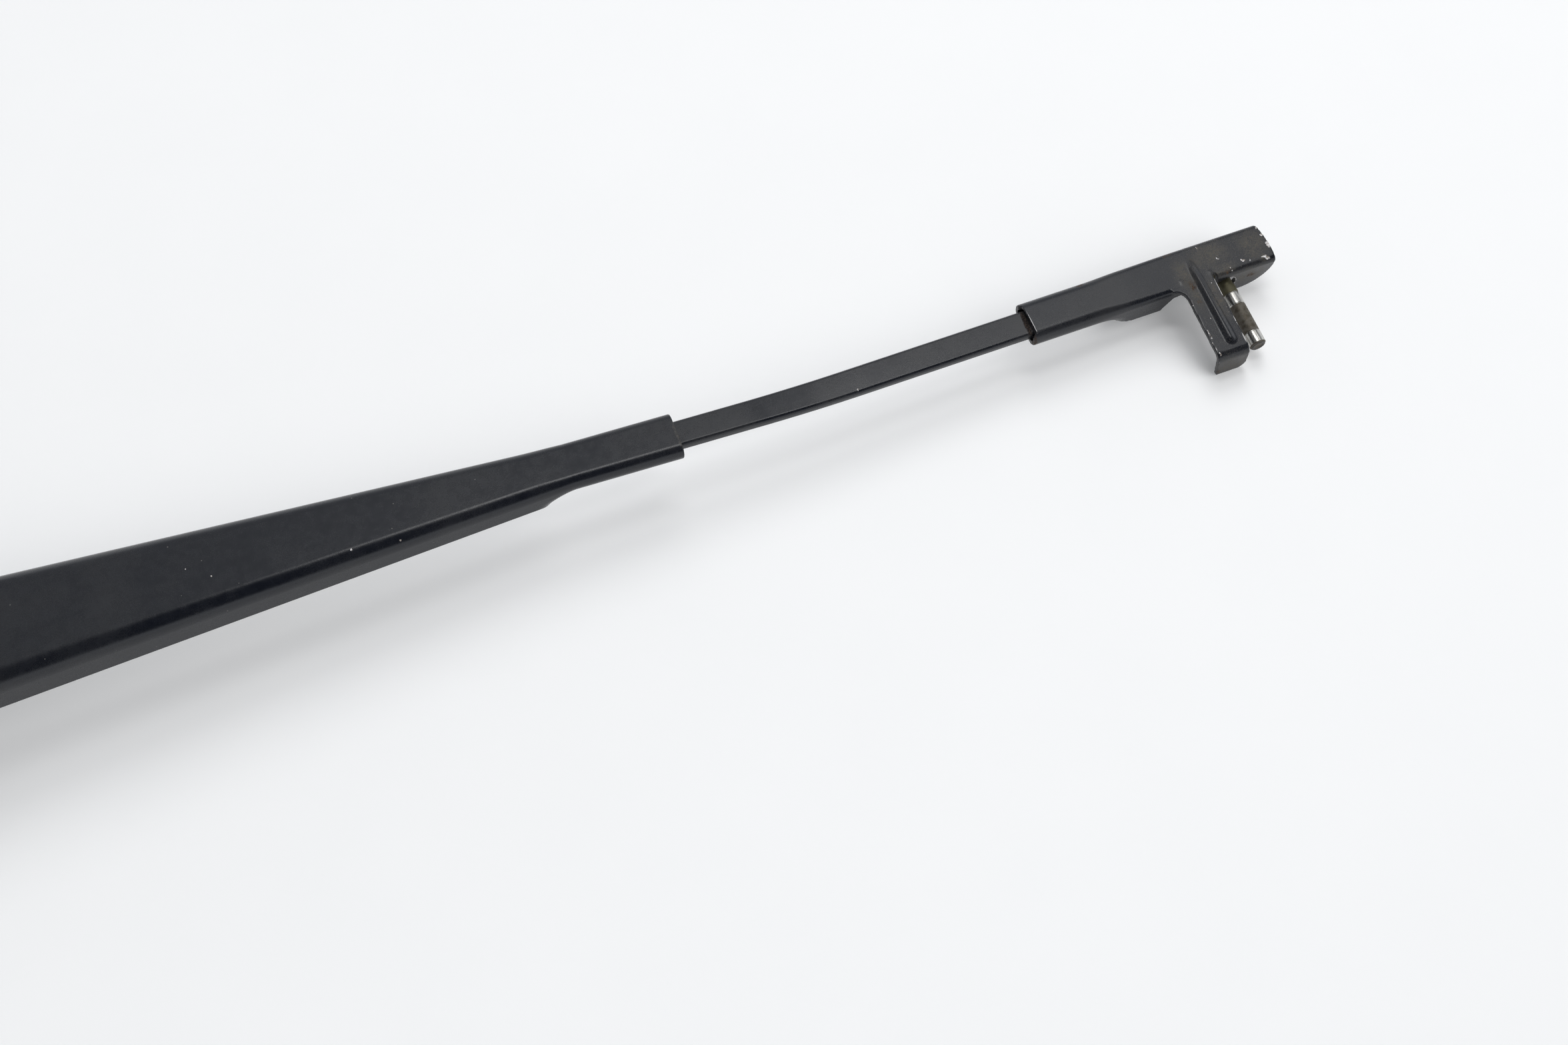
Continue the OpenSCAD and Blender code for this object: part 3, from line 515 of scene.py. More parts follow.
class Shader:
    """Builds one material's nodes; p is the position in mm in the given frame.

    Noise and cells are given per mm, so a scale of 0.5 makes marks about 2 mm wide.
    Layers are laid over tint and rough, which hold the colour and the roughness so far.
    """

    def __init__(self, name, matrix):
        self.mat = bpy.data.materials.new(name)
        self.mat.use_nodes = True
        self.nt = self.mat.node_tree
        self.bsdf = self.nt.nodes["Principled BSDF"]
        pos = add(self.nt, "TexCoord").outputs["Object"]
        loc, rot, _ = matrix.decompose()
        inputs = {"Vector": pos, "Location": loc, "Rotation": rot.to_euler(), "Scale": (MM, MM, MM)}
        m = add(self.nt, "Mapping", inputs, vector_type="TEXTURE")
        self.p = m.outputs["Vector"]
        self.tint = None
        self.rough = None

    def math(self, op, a, b=0.0):
        return add(self.nt, "Math", {0: a, 1: b}, operation=op).outputs[0]

    def vector(self, op, a, b=(0, 0, 0)):
        return add(self.nt, "VectorMath", {0: a, 1: b}, operation=op).outputs[0]

    def length(self, a):
        return add(self.nt, "VectorMath", {0: a}, operation="LENGTH").outputs["Value"]

    def mul(self, a, b):
        return self.math("MULTIPLY", a, b)

    def plus(self, a, b):
        return self.math("ADD", a, b)

    def most(self, *values):
        """The largest of the values."""
        out = values[0]
        for v in values[1:]:
            out = self.math("MAXIMUM", out, v)
        return out

    def ramp(self, value, low, high, out0=0.0, out1=1.0):
        return soft_ramp(self.nt, value, low, high, out0, out1)

    def scaled(self, factors, offset=(0, 0, 0)):
        """The position with each axis scaled, which stretches a pattern the other way."""
        inputs = {"Vector": self.p, "Scale": factors, "Location": offset}
        return add(self.nt, "Mapping", inputs).outputs[0]

    def noise(self, scale, detail=3.0, rough=0.5, vector=None, distortion=0.0):
        inputs = {"Vector": vector or self.p, "Scale": scale, "Detail": detail, "Roughness": rough}
        return add(self.nt, "TexNoise", {**inputs, "Distortion": distortion}).outputs[0]

    def voronoi(self, scale, vector=None):
        n = add(self.nt, "TexVoronoi", {"Vector": vector or self.p, "Scale": scale})
        return n.outputs["Distance"], n.outputs["Color"]

    def specks(self, scale, radius, fade, above):
        """Round specks in those cells whose random value is above the given share."""
        d, c = self.voronoi(scale)
        pick = self.math("GREATER_THAN", add(self.nt, "SeparateXYZ", {0: c}).outputs[0], above)
        return self.mul(self.ramp(d, radius, fade, 1.0, 0.0), pick)

    def axis(self, index):
        return add(self.nt, "SeparateXYZ", {0: self.p}).outputs[index]

    def colour(self, factor, a, b):
        n = add(self.nt, "Mix", data_type="RGBA")
        for i, v in ((0, factor), (6, a), (7, b)):
            if isinstance(v, bpy.types.NodeSocket):
                self.nt.links.new(v, n.inputs[i])
            else:
                n.inputs[i].default_value = v if i == 0 else (*v, 1)
        return n.outputs[2]

    def value(self, factor, a, b):
        return add(self.nt, "Mix", {0: factor, 2: a, 3: b}, data_type="FLOAT").outputs[0]

    def wobble(self, amount, scale):
        """The position, pushed about by noise."""
        n = add(self.nt, "TexNoise", {"Vector": self.p, "Scale": scale, "Detail": 3.0})
        v = self.vector("SUBTRACT", n.outputs["Color"], (0.5, 0.5, 0.5))
        v = add(self.nt, "VectorMath", {0: v, "Scale": amount}, operation="SCALE").outputs[0]
        return self.vector("ADD", self.p, v)

    def spots(self, where, vector, soft=0.25):
        """Spots given as a centre and a radius or three; each fades over a share of its radius."""
        masks = []
        for centre, size in where:
            size = size if isinstance(size, tuple) else (size, size, size)
            d = self.length(self.vector("DIVIDE", self.vector("SUBTRACT", vector, centre), size))
            masks.append(self.ramp(d, 1 - soft, 1 + soft, 1.0, 0.0))
        return self.most(*masks)

    def edges(self, radius):
        """1 on edges sharper than the radius, 0 on flats."""
        rounded = add(self.nt, "Bevel", {"Radius": radius * MM}, samples=6).outputs[0]
        true = add(self.nt, "NewGeometry").outputs["Normal"]
        dot = add(self.nt, "VectorMath", {0: rounded, 1: true}, operation="DOT_PRODUCT").outputs["Value"]
        return self.ramp(dot, 0.995, 0.93)

    def stain(self, where, tone, share, rougher=0.0):
        """Tints what is there by a share, and makes it rougher."""
        self.tint = self.colour(self.mul(where, share), self.tint, tone)
        if rougher:
            self.rough = self.plus(self.rough, self.mul(where, rougher))

    def cover(self, where, tone, rough):
        """Hides what is there under a tone with its own roughness."""
        self.tint = self.colour(where, self.tint, tone)
        self.rough = self.value(where, self.rough, rough)

    def bump(self, layers):
        """Layers are pairs of a height from 0 to 1 and its depth in mm."""
        normal = None
        for height, depth in layers:
            ins = {"Height": height, "Distance": depth * MM, "Strength": 1.0}
            if normal is not None:
                ins["Normal"] = normal
            normal = add(self.nt, "Bump", ins).outputs[0]
        self.nt.links.new(normal, self.bsdf.inputs["Normal"])

    def finish(self, colour, roughness, metallic=0.0):
        for key, v in (("Base Color", colour), ("Roughness", roughness), ("Metallic", metallic)):
            if isinstance(v, bpy.types.NodeSocket):
                self.nt.links.new(v, self.bsdf.inputs[key])
            elif key == "Base Color":
                self.bsdf.inputs[key].default_value = (*v, 1)
            else:
                self.bsdf.inputs[key].default_value = v
        return self.mat


# Colours of the worn paint, dark and light, and of what lies on it
BLACK = (0.0036, 0.0046, 0.0080), (0.0058, 0.0070, 0.0108)
HAZE = (0.072, 0.067, 0.054), (0.096, 0.080, 0.056)
RUST = (0.020, 0.013, 0.009), (0.082, 0.047, 0.027)
# The soil colour is dark soil that is also used as painted shade of the gap at the bracket's mouth
SOIL_AND_SHADE = (0.0040, 0.0028, 0.0025), (0.048, 0.031, 0.024)
CHIP = (0.24, 0.21, 0.18), (0.66, 0.65, 0.66)
BARE_LINE = (0.46, 0.45, 0.45)
WORN_EDGE = (0.085, 0.070, 0.055)
SCRATCH = (0.09, 0.09, 0.092)
DUST_FILM = (0.12, 0.115, 0.105)
DUST_SPECK = (0.19, 0.18, 0.165)
DUST_GRAIN = (0.26, 0.235, 0.195)
PAINT_IOR = 1.5

# Hairline scratches run along, across and steeply over a part: each a stretch and an offset
HAIR_RUNS = ((0.10, 3.2, 3.2), (3, 0, 0)), ((0.9, 2.6, 2.6), (0, 7, 1)), ((3.0, 0.5, 1.5), (5, 2, 3))


def dust_film(s, fine, dust):
    """A thin film of dust that gathers in patches."""
    broad = s.noise(0.06, 3, 0.5)
    patch = s.ramp(s.mul(broad, s.ramp(fine, 0.2, 0.8, 0.6, 1.1)), 0.32, 0.62)
    s.stain(s.mul(patch, dust), DUST_FILM, 0.17, rougher=0.16)


def hairlines(s, scratch):
    """Thin scratches where a noise crosses its middle, kept in patches."""
    hair = []
    for stretch, offset in HAIR_RUNS:
        n = s.noise(1.0, 2, 0.5, s.scaled(stretch, offset), 0.3)
        near = s.math("ABSOLUTE", s.math("SUBTRACT", n, 0.5))
        patch = s.ramp(s.noise(0.11, 2, 0.5, s.scaled((1, 1, 1), offset)), 0.52, 0.66)
        hair.append(s.mul(s.ramp(near, 0.0, 0.006, 1.0, 0.0), patch))
    s.stain(s.mul(s.most(*hair), scratch), SCRATCH, 0.55, rougher=0.16)


def dust_specks(s, specks, places):
    """Single specks of dust, and a finer sprinkle at the given places."""
    s.stain(s.specks(0.42, 0.035, 0.085, specks), DUST_SPECK, 0.6)
    if places:
        grain = s.ramp(s.noise(3.4, 6, 0.8), 0.555, 0.68)
        patch = s.ramp(s.noise(0.55, 3, 0.6), 0.38, 0.62, 0.25, 1.0)
        dirty = s.mul(s.spots(places, s.wobble(2.0, 0.3), 0.8), patch)
        s.stain(s.mul(grain, dirty), DUST_GRAIN, 0.85)


def brown_haze(s, places, fine, mottle):
    patch = s.ramp(s.plus(s.mul(fine, 0.5), s.mul(mottle, 0.5)), 0.36, 0.62, 0.15, 1.0)
    where = s.mul(s.spots(places, s.wobble(1.6, 0.5), 0.9), patch)
    tone = s.colour(s.ramp(s.noise(1.4, 4, 0.6), 0.42, 0.62), *HAZE)
    s.stain(where, tone, 0.62, rougher=0.18)


def rubbed_edges(s, wear):
    start = 0.62 - 0.16 * wear
    worn = s.mul(s.edges(0.35), s.ramp(s.noise(0.5, 5, 0.65), start, start + 0.12))
    s.stain(worn, WORN_EDGE, 0.85, rougher=0.15)


def rust_patches(s, places, fine):
    where = s.mul(s.spots(places, s.wobble(2.2, 0.9), 0.55), s.ramp(s.noise(1.1, 5, 0.7), 0.38, 0.58))
    s.cover(where, s.colour(s.ramp(fine, 0.3, 0.7), *RUST), 0.85)


def soil_and_gap_shade(s, places):
    """Thick soil, which at the bracket's mouth also serves as painted shade of the gap between bar and
    sheet; its height is given back.
    """
    where = s.spots(places, s.wobble(1.1, 1.6), 0.35)
    s.cover(where, s.colour(s.ramp(s.noise(3.2, 3, 0.6), 0.42, 0.66), *SOIL_AND_SHADE), 0.9)
    return s.mul(s.mul(where, s.noise(2.4, 3, 0.6)), 14.0)


def bare_lines(s, places):
    """Thin lines of bare metal, broken here and there."""
    broken = s.ramp(s.noise(0.9, 3, 0.6), 0.36, 0.46)
    s.cover(s.mul(s.spots(places, s.wobble(0.16, 1.1), 0.3), broken), BARE_LINE, 0.5)


def flakes(s, places):
    """Spots of bare metal where the paint has come off; their depth is given back."""
    where = s.spots(places, s.wobble(0.75, 1.6), 0.12)
    s.cover(where, s.colour(s.ramp(s.noise(1.6, 3, 0.6), 0.4, 0.62), *CHIP), 0.55)
    return s.mul(where, 6.0)


def paint(name, matrix, chips, lines=(), haze=(), rust=(), soil=(), sprinkle=(),
          wear=0.5, scratch=0.5, dust=0.3, specks=0.86):
    """Worn black paint.

    The lists hold places: flakes, thin bare lines, brown film, rust, caked soil that also paints the shade
    of a gap, and a sprinkle of fine dust. Wear, scratch and dust go from 0 to 1; specks is the share of
    cells without a speck.
    """
    s = Shader(name, matrix)
    mottle = s.noise(0.35, 5, 0.6)
    fine = s.noise(2.6, 4, 0.6)
    height = s.ramp(fine, 0.3, 0.7)
    s.tint = s.colour(s.ramp(mottle, 0.3, 0.7), *BLACK)
    s.rough = s.ramp(mottle, 0.25, 0.75, 0.21, 0.29)
    dust_film(s, fine, dust)
    hairlines(s, scratch)
    dust_specks(s, specks, sprinkle)
    if haze:
        brown_haze(s, haze, fine, mottle)
    rubbed_edges(s, wear)
    if rust:
        rust_patches(s, rust, fine)
    # Caked soil, which is partly painted shade of a gap
    if soil:
        height = s.plus(height, soil_and_gap_shade(s, soil))
    if lines:
        bare_lines(s, lines)
    height = s.math("SUBTRACT", height, flakes(s, chips))
    wave, peel = s.noise(0.045, 1, 0.4), s.noise(0.85, 2, 0.4)
    s.bump([(wave, 0.035), (peel, 0.010), (height, 0.004)])
    s.bsdf.inputs["IOR"].default_value = PAINT_IOR
    return s.finish(s.tint, s.rough)


def metal(name, matrix, tint, dark, rust, grime, rough=(0.28, 0.5), brushed=None):
    """Plated metal with grime and rust in patches; brushed gives the stretch of fine lines."""
    s = Shader(name, matrix)
    patch = s.noise(0.30, 5, 0.62)
    fine = s.noise(2.2, 4, 0.6)
    soil = s.ramp(s.plus(s.mul(patch, 0.7), s.mul(fine, 0.3)), 0.42, 0.62)
    colour = s.colour(s.mul(soil, grime), tint, dark)
    roughness = s.ramp(s.plus(s.mul(patch, 0.6), s.mul(fine, 0.4)), 0.35, 0.65, *rough)
    bumps = [(fine, 0.006)]
    if brushed:
        lines = s.noise(1.0, 3, 0.6, s.scaled(brushed))
        bumps.append((lines, 0.005))
        roughness = s.plus(roughness, s.ramp(lines, 0.3, 0.7, -0.06, 0.08))
    where = s.ramp(s.noise(0.55, 6, 0.7), 0.70 - 0.2 * rust, 0.76 - 0.16 * rust)
    colour = s.colour(where, colour, s.colour(fine, (0.035, 0.014, 0.006), (0.20, 0.085, 0.03)))
    roughness = s.value(where, roughness, 0.9)
    s.bump(bumps)
    return s.finish(colour, roughness, s.math("SUBTRACT", 1.0, where))


def pin_material():
    """A turned pin: dull and bright bands along its length, with soil in the dull ones."""
    s = Shader("pin_steel", BRACKET @ at(PIN_AT, NEAR_Y, PIN_Z))
    out = s.mul(s.axis(1), -1.0)
    wander = s.plus(out, s.mul(s.math("SUBTRACT", s.noise(0.6, 3, 0.6), 0.5), 0.5))
    inner = s.mul(s.ramp(wander, 3.7, 3.9), s.ramp(wander, 7.5, 7.7, 1.0, 0.0))
    outer = s.mul(s.ramp(wander, 16.6, 16.85), s.ramp(wander, 20.3, 20.5, 1.0, 0.0))
    bright = s.most(inner, outer)
    along = s.noise(1.0, 3, 0.6, s.scaled((1.6, 0.16, 1.6)))
    patch = s.noise(0.7, 5, 0.65)
    steel = s.colour(s.ramp(along, 0.35, 0.65), (0.60, 0.59, 0.56), (0.27, 0.26, 0.24))
    dull = s.colour(s.ramp(patch, 0.35, 0.65), (0.085, 0.073, 0.056), (0.175, 0.160, 0.135))
    neck = s.mul(s.ramp(out, 3.4, 4.2, 1.0, 0.0), s.ramp(out, -4.0, -2.0))
    dull = s.colour(s.mul(neck, 0.7), dull, (0.120, 0.112, 0.060))
    colour = s.colour(bright, dull, steel)
    end = s.ramp(out, PIN_LEN - 0.28, PIN_LEN - 0.15)
    colour = s.colour(end, colour, (0.10, 0.095, 0.09))
    dull_rough, bright_rough = s.ramp(patch, 0.3, 0.7, 0.48, 0.70), s.ramp(along, 0.3, 0.7, 0.16, 0.34)
    s.bump([(along, 0.012), (patch, 0.006)])
    return s.finish(colour, s.value(bright, dull_rough, bright_rough), s.value(bright, 0.75, 1.0))


def plastic(name, matrix, base, light, grain=1.6, depth=0.020, rough=(0.42, 0.56)):
    """Moulded plastic with a grained face, rubbed edges and a few specks."""
    s = Shader(name, matrix)
    cells, _ = s.voronoi(grain, s.wobble(0.35, 1.4))
    broad = s.noise(0.09, 4, 0.55)
    fine = s.noise(3.0, 3, 0.6)
    colour = s.colour(s.ramp(broad, 0.3, 0.7), base, light)
    rubbed = s.mul(s.edges(0.4), s.ramp(s.noise(0.6, 4, 0.6), 0.45, 0.7, 0.0, 0.5))
    colour = s.colour(rubbed, colour, (0.09, 0.09, 0.088))
    colour = s.colour(s.mul(s.specks(0.35, 0.04, 0.10, 0.8), 0.5), colour, (0.2, 0.19, 0.17))
    s.bump([(cells, depth), (fine, 0.004)])
    return s.finish(colour, s.ramp(s.plus(s.mul(broad, 0.6), s.mul(fine, 0.4)), 0.35, 0.65, *rough))


WELL_R = 9.75


def head_material():
    """Painted casting; the bore, the nut's seat and the rubbed edges are bare."""
    s = Shader("head", HEAD)
    grit = s.noise(1.5, 5, 0.65)
    broad = s.noise(0.07, 4, 0.5)
    fine = s.noise(4.0, 3, 0.6)
    black = s.colour(s.ramp(broad, 0.3, 0.7), (0.0075, 0.0078, 0.0088), (0.0150, 0.0150, 0.0155))
    xy = add(s.nt, "CombineXYZ", {0: s.axis(0), 1: s.axis(1), 2: 0.0}).outputs[0]
    radius = s.plus(s.length(xy), s.mul(s.math("SUBTRACT", grit, 0.5), 0.5))
    worn = s.mul(s.edges(0.5), s.ramp(s.noise(0.4, 5, 0.65), 0.50, 0.62))
    bare = s.most(s.ramp(radius, WELL_R, WELL_R + 0.25, 1.0, 0.0), s.mul(worn, 0.9))
    turning_marks = s.mul(s.plus(s.math("SINE", s.mul(radius, 14.0)), 1.0), s.mul(bare, 0.5))
    alu = s.colour(s.ramp(grit, 0.35, 0.65), (0.56, 0.56, 0.555), (0.36, 0.355, 0.34))
    paint_rough, bare_rough = s.ramp(grit, 0.3, 0.7, 0.42, 0.58), s.ramp(grit, 0.3, 0.7, 0.32, 0.48)
    s.bump([(grit, 0.030), (fine, 0.006), (turning_marks, 0.008)])
    return s.finish(s.colour(bare, black, alu), s.value(bare, paint_rough, bare_rough), s.mul(bare, 0.95))


# Places on the end bracket, in its own frame: each a centre and a radius, or a radius per axis
BRACKET_CHIPS = [
    ((65.55, -3.55, 2.8), (0.50, 0.34, 0.6)), ((65.2, -3.2, 2.8), 0.26),
    ((67.55, -4.1, 2.8), (0.16, 0.30, 0.3)), ((61.1, -4.4, 2.8), 0.19),
    ((61.3, -5.35, 2.7), 0.13), ((58.9, -0.35, 2.8), (0.16, 0.30, 0.3)),
    ((59.2, -0.75, 2.8), (0.26, 0.15, 0.3)), ((54.85, 4.5, 2.7), (0.15, 0.42, 0.3)),
    ((73.9, 4.7, 2.3), (0.45, 0.60, 0.6)), ((74.4, 2.2, 2.4), (0.45, 0.50, 0.7)),
    ((74.7, -1.3, 1.9), (0.6, 1.3, 1.4)), ((71.9, -4.45, 2.6), (0.85, 0.42, 0.6)),
    ((72.7, -5.1, 2.1), (0.80, 0.50, 0.9)), ((56.6, -6.45, 2.6), (0.13, 0.38, 0.3)),
    ((55.5, -6.2, 2.6), (0.32, 0.26, 0.5)), ((53.9, -6.95, 2.75), 0.13),
    ((45.85, -11.6, 2.5), 0.14), ((45.8, -23.9, 1.9), 0.20),
    ((46.2, -20.6, 2.1), (0.17, 0.85, 0.35)), ((46.35, -22.2, 2.0), (0.13, 0.50, 0.3)),
    ((46.45, -27.6, 1.7), (0.17, 0.62, 0.35)), ((48.7, -16.65, 2.35), 0.17),
    ((-0.2, 4.9, 1.6), (0.30, 0.35, 0.5)), ((1.2, -4.6, 2.75), (0.22, 0.20, 0.3)),
]
BRACKET_LINES = [
    ((55.14, -9.3, 2.5), (0.13, 3.1, 0.5)), ((55.3, -6.5, 2.6), (0.24, 0.45, 0.5)),
    ((55.08, -19.6, 2.0), (0.10, 1.5, 0.5)), ((55.05, -25.2, 1.7), (0.16, 1.5, 0.6)),
    ((46.0, -25.4, 1.8), (0.10, 1.1, 0.5)), ((45.9, -29.6, 0.6), (0.12, 0.5, 1.3)),
    ((1.10, -1.4, 2.75), (0.09, 3.4, 0.4)), ((72.9, -5.2, 2.1), (0.9, 0.12, 0.5)),
]
# Part of a bare ring round the pin's hole in the near wall
HOLE_RING_R = 3.45
for step in range(15):
    a = math.radians(-15 + 6 * step)
    ring_x, ring_z = PIN_AT + HOLE_RING_R * math.cos(a), PIN_Z + HOLE_RING_R * math.sin(a)
    BRACKET_LINES.append(((ring_x, NEAR_Y, ring_z), 0.22))
BRACKET_HAZE = [
    ((47.8, -2.0, 2.9), (2.2, 4.0, 1.4)), ((48.0, -8.0, 2.8), (1.2, 4.5, 1.2)),
    ((57.0, 1.5, 2.9), (5.0, 3.2, 1.2)), ((66.5, -6.4, -1.6), (5.5, 1.1, 3.4)),
    ((59.0, -4.4, 2.8), (3.0, 1.8, 1.2)), ((70.5, 0.5, 2.9), (3.5, 4.0, 1.2)),
    ((50.5, -30.0, -3.4), (4.6, 1.6, 3.2)), ((53.4, -12.0, 2.6), (1.3, 5.0, 1.0)),
    ((71.9, -4.6, 2.5), (1.3, 1.0, 1.4)),
]
BRACKET_RUST = [
    ((68.0, -6.4, -1.9), (1.5, 0.9, 0.8)), ((48.3, -5.9, 2.8), (0.9, 1.6, 0.6)),
    ((47.9, -11.2, 2.6), (0.5, 0.6, 0.5)), ((60.0, -5.2, 2.6), (0.9, 0.5, 0.6)),
    ((46.3, 5.2, 2.2), (1.6, 0.5, 0.6)), ((18.7, 5.2, 2.2), (1.0, 0.4, 0.5)),
    ((46.4, -30.2, -5.6), (1.0, 0.8, 0.9)), ((0.2, -5.6, 0.0), (0.6, 1.2, 2.5)),
]
# Dark soil at the mouth, which also stands in as painted shade of the gap between bar and sheet
BRACKET_MOUTH_SOIL_AND_SHADE = [((0.1, 0.0, 1.6), (0.75, 4.9, 1.05))]
BRACKET_SPRINKLE = [
    ((61.0, 0.0, 2.0), (14.0, 9.0, 5.0)), ((50.4, -14.0, 1.0), (6.0, 14.0, 4.0)),
    ((50.5, -30.0, -3.4), (5.0, 2.5, 4.0)),
]

# Places on the bar and the retainer, in the arm's frame
MOUTH = tuple(ARM.inverted() @ BRACKET @ mm(-0.05, 0, 1.5) / MM)
BAR_CHIPS = [
    ((254.5, 3.7, 6.6), (0.5, 0.2, 0.3)), ((255.7, -2.6, 6.9), (0.16, 0.5, 0.3)),
    ((280.0, 4.6, 7.0), (0.6, 0.22, 0.3)),
]
# Dark soil on the bar at the bracket's mouth, which is also painted shade of the gap there
BAR_MOUTH_SOIL_AND_SHADE = [(MOUTH, (0.72, 4.4, 1.6))]
RETAINER_CHIPS = [
    ((79.5, -3.4, 8.2), 0.22), ((73.9, 0.6, 8.2), 0.2), ((114.7, -7.3, 8.0), 0.3),
    ((127.2, -8.2, 7.3), 0.28), ((150.5, 2.6, 8.2), 0.14),
]
RETAINER_HAZE = [((204.8, -1.5, 8.0), (0.45, 3.0, 0.9)), ((204.9, 5.6, 6.6), (0.45, 1.0, 0.9))]

PAINT_RETAINER = paint("paint_retainer", ARM, RETAINER_CHIPS, haze=RETAINER_HAZE,
                       wear=0.3, scratch=0.35, dust=0.25)
PAINT_BAR = paint("paint_bar", ARM, BAR_CHIPS, soil=BAR_MOUTH_SOIL_AND_SHADE,
                  wear=0.35, scratch=0.8, dust=0.5, specks=0.9)
PAINT_BRACKET = paint("paint_bracket", BRACKET, BRACKET_CHIPS, BRACKET_LINES, BRACKET_HAZE, BRACKET_RUST,
                      BRACKET_MOUTH_SOIL_AND_SHADE, BRACKET_SPRINKLE, wear=0.6, scratch=0.5, dust=0.5)
PIN_STEEL = pin_material()
ZINC_LINK = metal("zinc_link", LINK, (0.60, 0.60, 0.58), (0.23, 0.21, 0.18),
                  rust=0.35, grime=0.6, brushed=(0.2, 3, 3))
ZINC_PINS = metal("zinc_pins", at(*PIVOT), (0.66, 0.65, 0.62), (0.22, 0.20, 0.17), rust=0.25, grime=0.5)
ZINC_COIL = metal("zinc_coil", LINK, (0.50, 0.49, 0.47), (0.14, 0.12, 0.10),
                  rust=0.3, grime=0.7, rough=(0.30, 0.55))
BUSH = plastic("bush", at(*PIVOT), (0.66, 0.64, 0.57), (0.56, 0.53, 0.45),
               grain=2.2, depth=0.006, rough=(0.35, 0.5))
CAP = plastic("cap", HEAD, (0.0105, 0.0105, 0.0112), (0.0150, 0.0150, 0.0152))
HEAD_PAINT = head_material()


def place(obj, material, node, body):
    obj.data.materials.clear()
    obj.data.materials.append(material)
    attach(obj, body)
    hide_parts(node)


# The pieces
place(make_retainer(), PAINT_RETAINER, "retainer", "arm")
place(make_bracket(), PAINT_BRACKET, "end_bracket", "arm")
bar = cad_copy("bar", "bar_flat", flat_angle=0.05)
bevel(bar, width=0.12, segments=1, angle=50)
place(bar, PAINT_BAR, "bar", "arm")
place(make_side_pin(), PIN_STEEL, "side_pin", "arm")

head = cad_copy("mounting_head", "head_casting", flat_angle=0)
remesh(head, voxel=0.42)
relax(head.data, rounds=14)
shade_smooth(head)
place(head, HEAD_PAINT, "mounting_head", "head")

cap = cad_copy("nut_cap", "cap_moulded")
bevel(cap, width=0.35, angle=35)
place(cap, CAP, "nut_cap", "cap")

for node, name, body, width, material in (
        ("pivot_pin", "pivot_rivet", "arm", 0.3, ZINC_PINS),
        ("hook_pin", "hook_pin_round", "head", 0.2, ZINC_PINS),
        ("spring_link", "link_strip", "link", 0.35, ZINC_LINK)):
    piece = cad_copy(node, name)
    bevel(piece, width)
    place(piece, material, node, body)
for side in ("near", "far"):
    piece = cad_copy("pivot_bush_" + side, "bush_" + side)
    bevel(piece, width=0.2, segments=2)
    place(piece, BUSH, "pivot_bush_" + side, "head")

coil, hook = make_spring()
place(coil, ZINC_COIL, "spring", "link")
place(hook, ZINC_COIL, "spring", "arm")

# Floor, just under the arm; its sizes are in metres
FLOOR_HALF, FLOOR_Z = 9, -0.0002
corners = [(x * FLOOR_HALF, y * FLOOR_HALF, FLOOR_Z) for x, y in ((-1, -1), (1, -1), (1, 1), (-1, 1))]
floor = new_object("floor", mesh_from("floor", corners, [(0, 1, 2, 3)]))
white = Shader("floor_white", HEAD)
pale = white.colour(white.noise(0.03, 4, 0.5), (0.915, 0.920, 0.925), (0.935, 0.938, 0.942))
white.finish(pale, 0.5)
white.bump([(white.noise(0.8, 3, 0.5), 0.01)])
white.bsdf.inputs["Specular IOR Level"].default_value = 0.1
# Seen by the camera and in reflections the floor is partly plain white, which keeps its shadows pale
own = add(white.nt, "Emission", {"Color": pale, "Strength": 1.0}).outputs[0]
path = add(white.nt, "LightPath")
seen = white.mul(white.most(path.outputs["Is Camera Ray"], path.outputs["Is Glossy Ray"]), 0.18)
both = add(white.nt, "MixShader", {0: seen, 1: white.bsdf.outputs[0], 2: own}).outputs[0]
white.nt.links.new(both, white.nt.nodes["Material Output"].inputs["Surface"])
floor.data.materials.append(white.mat)

# World: paler on the far side and to the right, darker overhead on the camera's side
world = bpy.data.worlds.new("studio")
scene.world = world
world.use_nodes = True
wt = world.node_tree
looking = add(wt, "SeparateXYZ", {0: add(wt, "TexCoord").outputs["Generated"]})
far_side = soft_ramp(wt, looking.outputs[1], -0.10, 0.52, 0.05, 0.58)
to_right = soft_ramp(wt, looking.outputs[0], -0.25, 0.45, 0.85, 1.17)
low_down = soft_ramp(wt, looking.outputs[2], 0.44, 0.20, 0.0, 1.0)
overhead = add(wt, "Math", {0: far_side, 1: to_right}, operation="MULTIPLY").outputs[0]
level = add(wt, "Math", {0: overhead, 1: low_down}, operation="MAXIMUM").outputs[0]
wt.links.new(level, wt.nodes["Background"].inputs["Strength"])
wt.nodes["Background"].inputs["Color"].default_value = (0.95, 0.98, 1.02, 1)


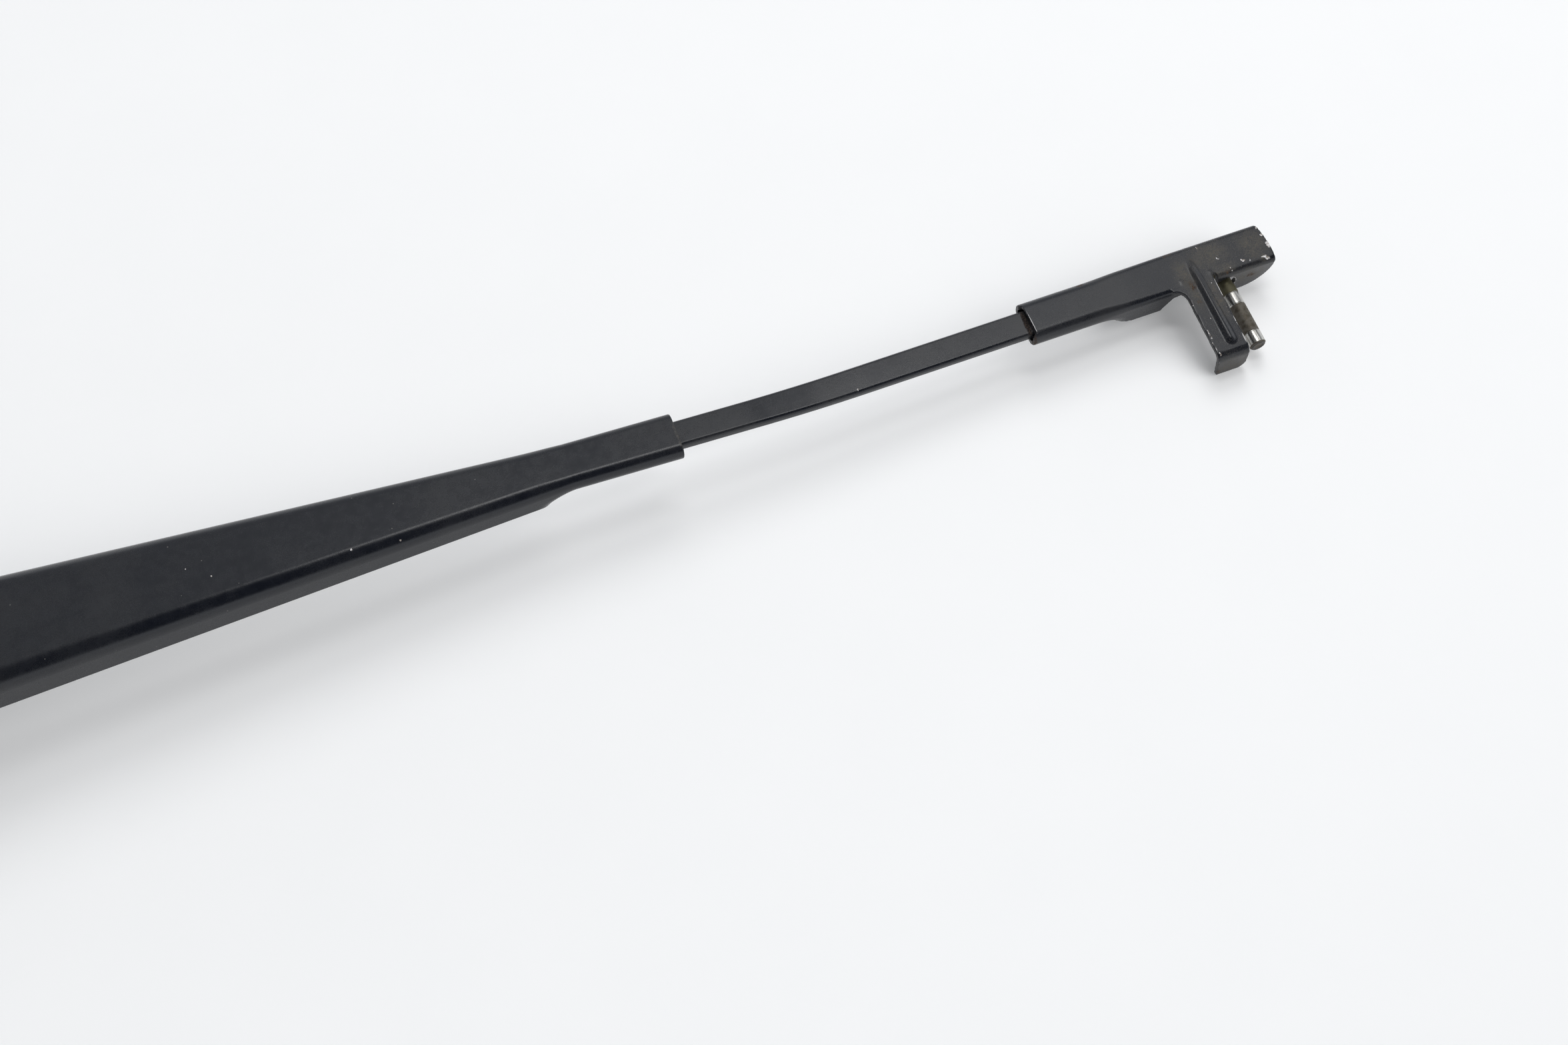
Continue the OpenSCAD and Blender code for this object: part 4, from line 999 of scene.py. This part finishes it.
# Lights, with places and sizes in metres
def area_light(name, where, aim, size, power):
    data = bpy.data.lights.new(name, "AREA")
    data.shape = "RECTANGLE"
    data.size, data.size_y = size
    data.energy = power
    toward = Vector(aim) - Vector(where)
    obj = new_object(name, data)
    obj.matrix_world = Matrix.Translation(where) @ toward.to_track_quat("-Z", "Y").to_matrix().to_4x4()


def sun_light(name, energy, angle, toward):
    """A broad sun that isn't seen in reflections; toward points from the arm to the sun."""
    data = bpy.data.lights.new(name, "SUN")
    data.energy = energy
    data.angle = math.radians(angle)
    obj = new_object(name, data)
    obj.matrix_world = Vector(toward).to_track_quat("Z", "Y").to_matrix().to_4x4()
    obj.visible_glossy = False


area_light("soft_box", (0.52, 0.18, 0.9), (0.50, 0.14, 0.0), (0.50, 0.17), 1.5)
area_light("soft_wall", (0.86, 0.36, 0.9), (0.80, 0.30, 0.0), (0.55, 0.36), 0.55)
sun_light("key", 0.85, 30, (0.35, 1.00, 1.10))
sun_light("fill", 1.65, 50, (0.90, -0.75, 1.00))

# Camera, at the photograph's angle
AZIMUTH, ELEVATION, ROLL = math.radians(-20.10), math.radians(61.43), math.radians(-0.47)
PHOTO_WIDTH, FOCAL = 2352, 3642  # in the photo's pixels
AIM, DISTANCE = (281, -33.04, 15), 634.6
level_out = math.cos(ELEVATION)
back = Vector((math.sin(AZIMUTH) * level_out, -math.cos(AZIMUTH) * level_out, math.sin(ELEVATION)))
right = Vector((math.cos(AZIMUTH), math.sin(AZIMUTH), 0))
up = back.cross(right)
rolled_right = right * math.cos(ROLL) + up * math.sin(ROLL)
rolled_up = -right * math.sin(ROLL) + up * math.cos(ROLL)
camera = bpy.data.cameras.new("camera")
camera.sensor_width = 36
camera.lens = FOCAL / PHOTO_WIDTH * camera.sensor_width
camera.clip_start = 0.01
scene.camera = new_object("camera", camera)
rotation = Matrix((rolled_right, rolled_up, back)).transposed().to_4x4()
scene.camera.matrix_world = Matrix.Translation(mm(*AIM) + back * DISTANCE * MM) @ rotation
scene.view_settings.view_transform = "Standard"

bpy.context.view_layer.update()
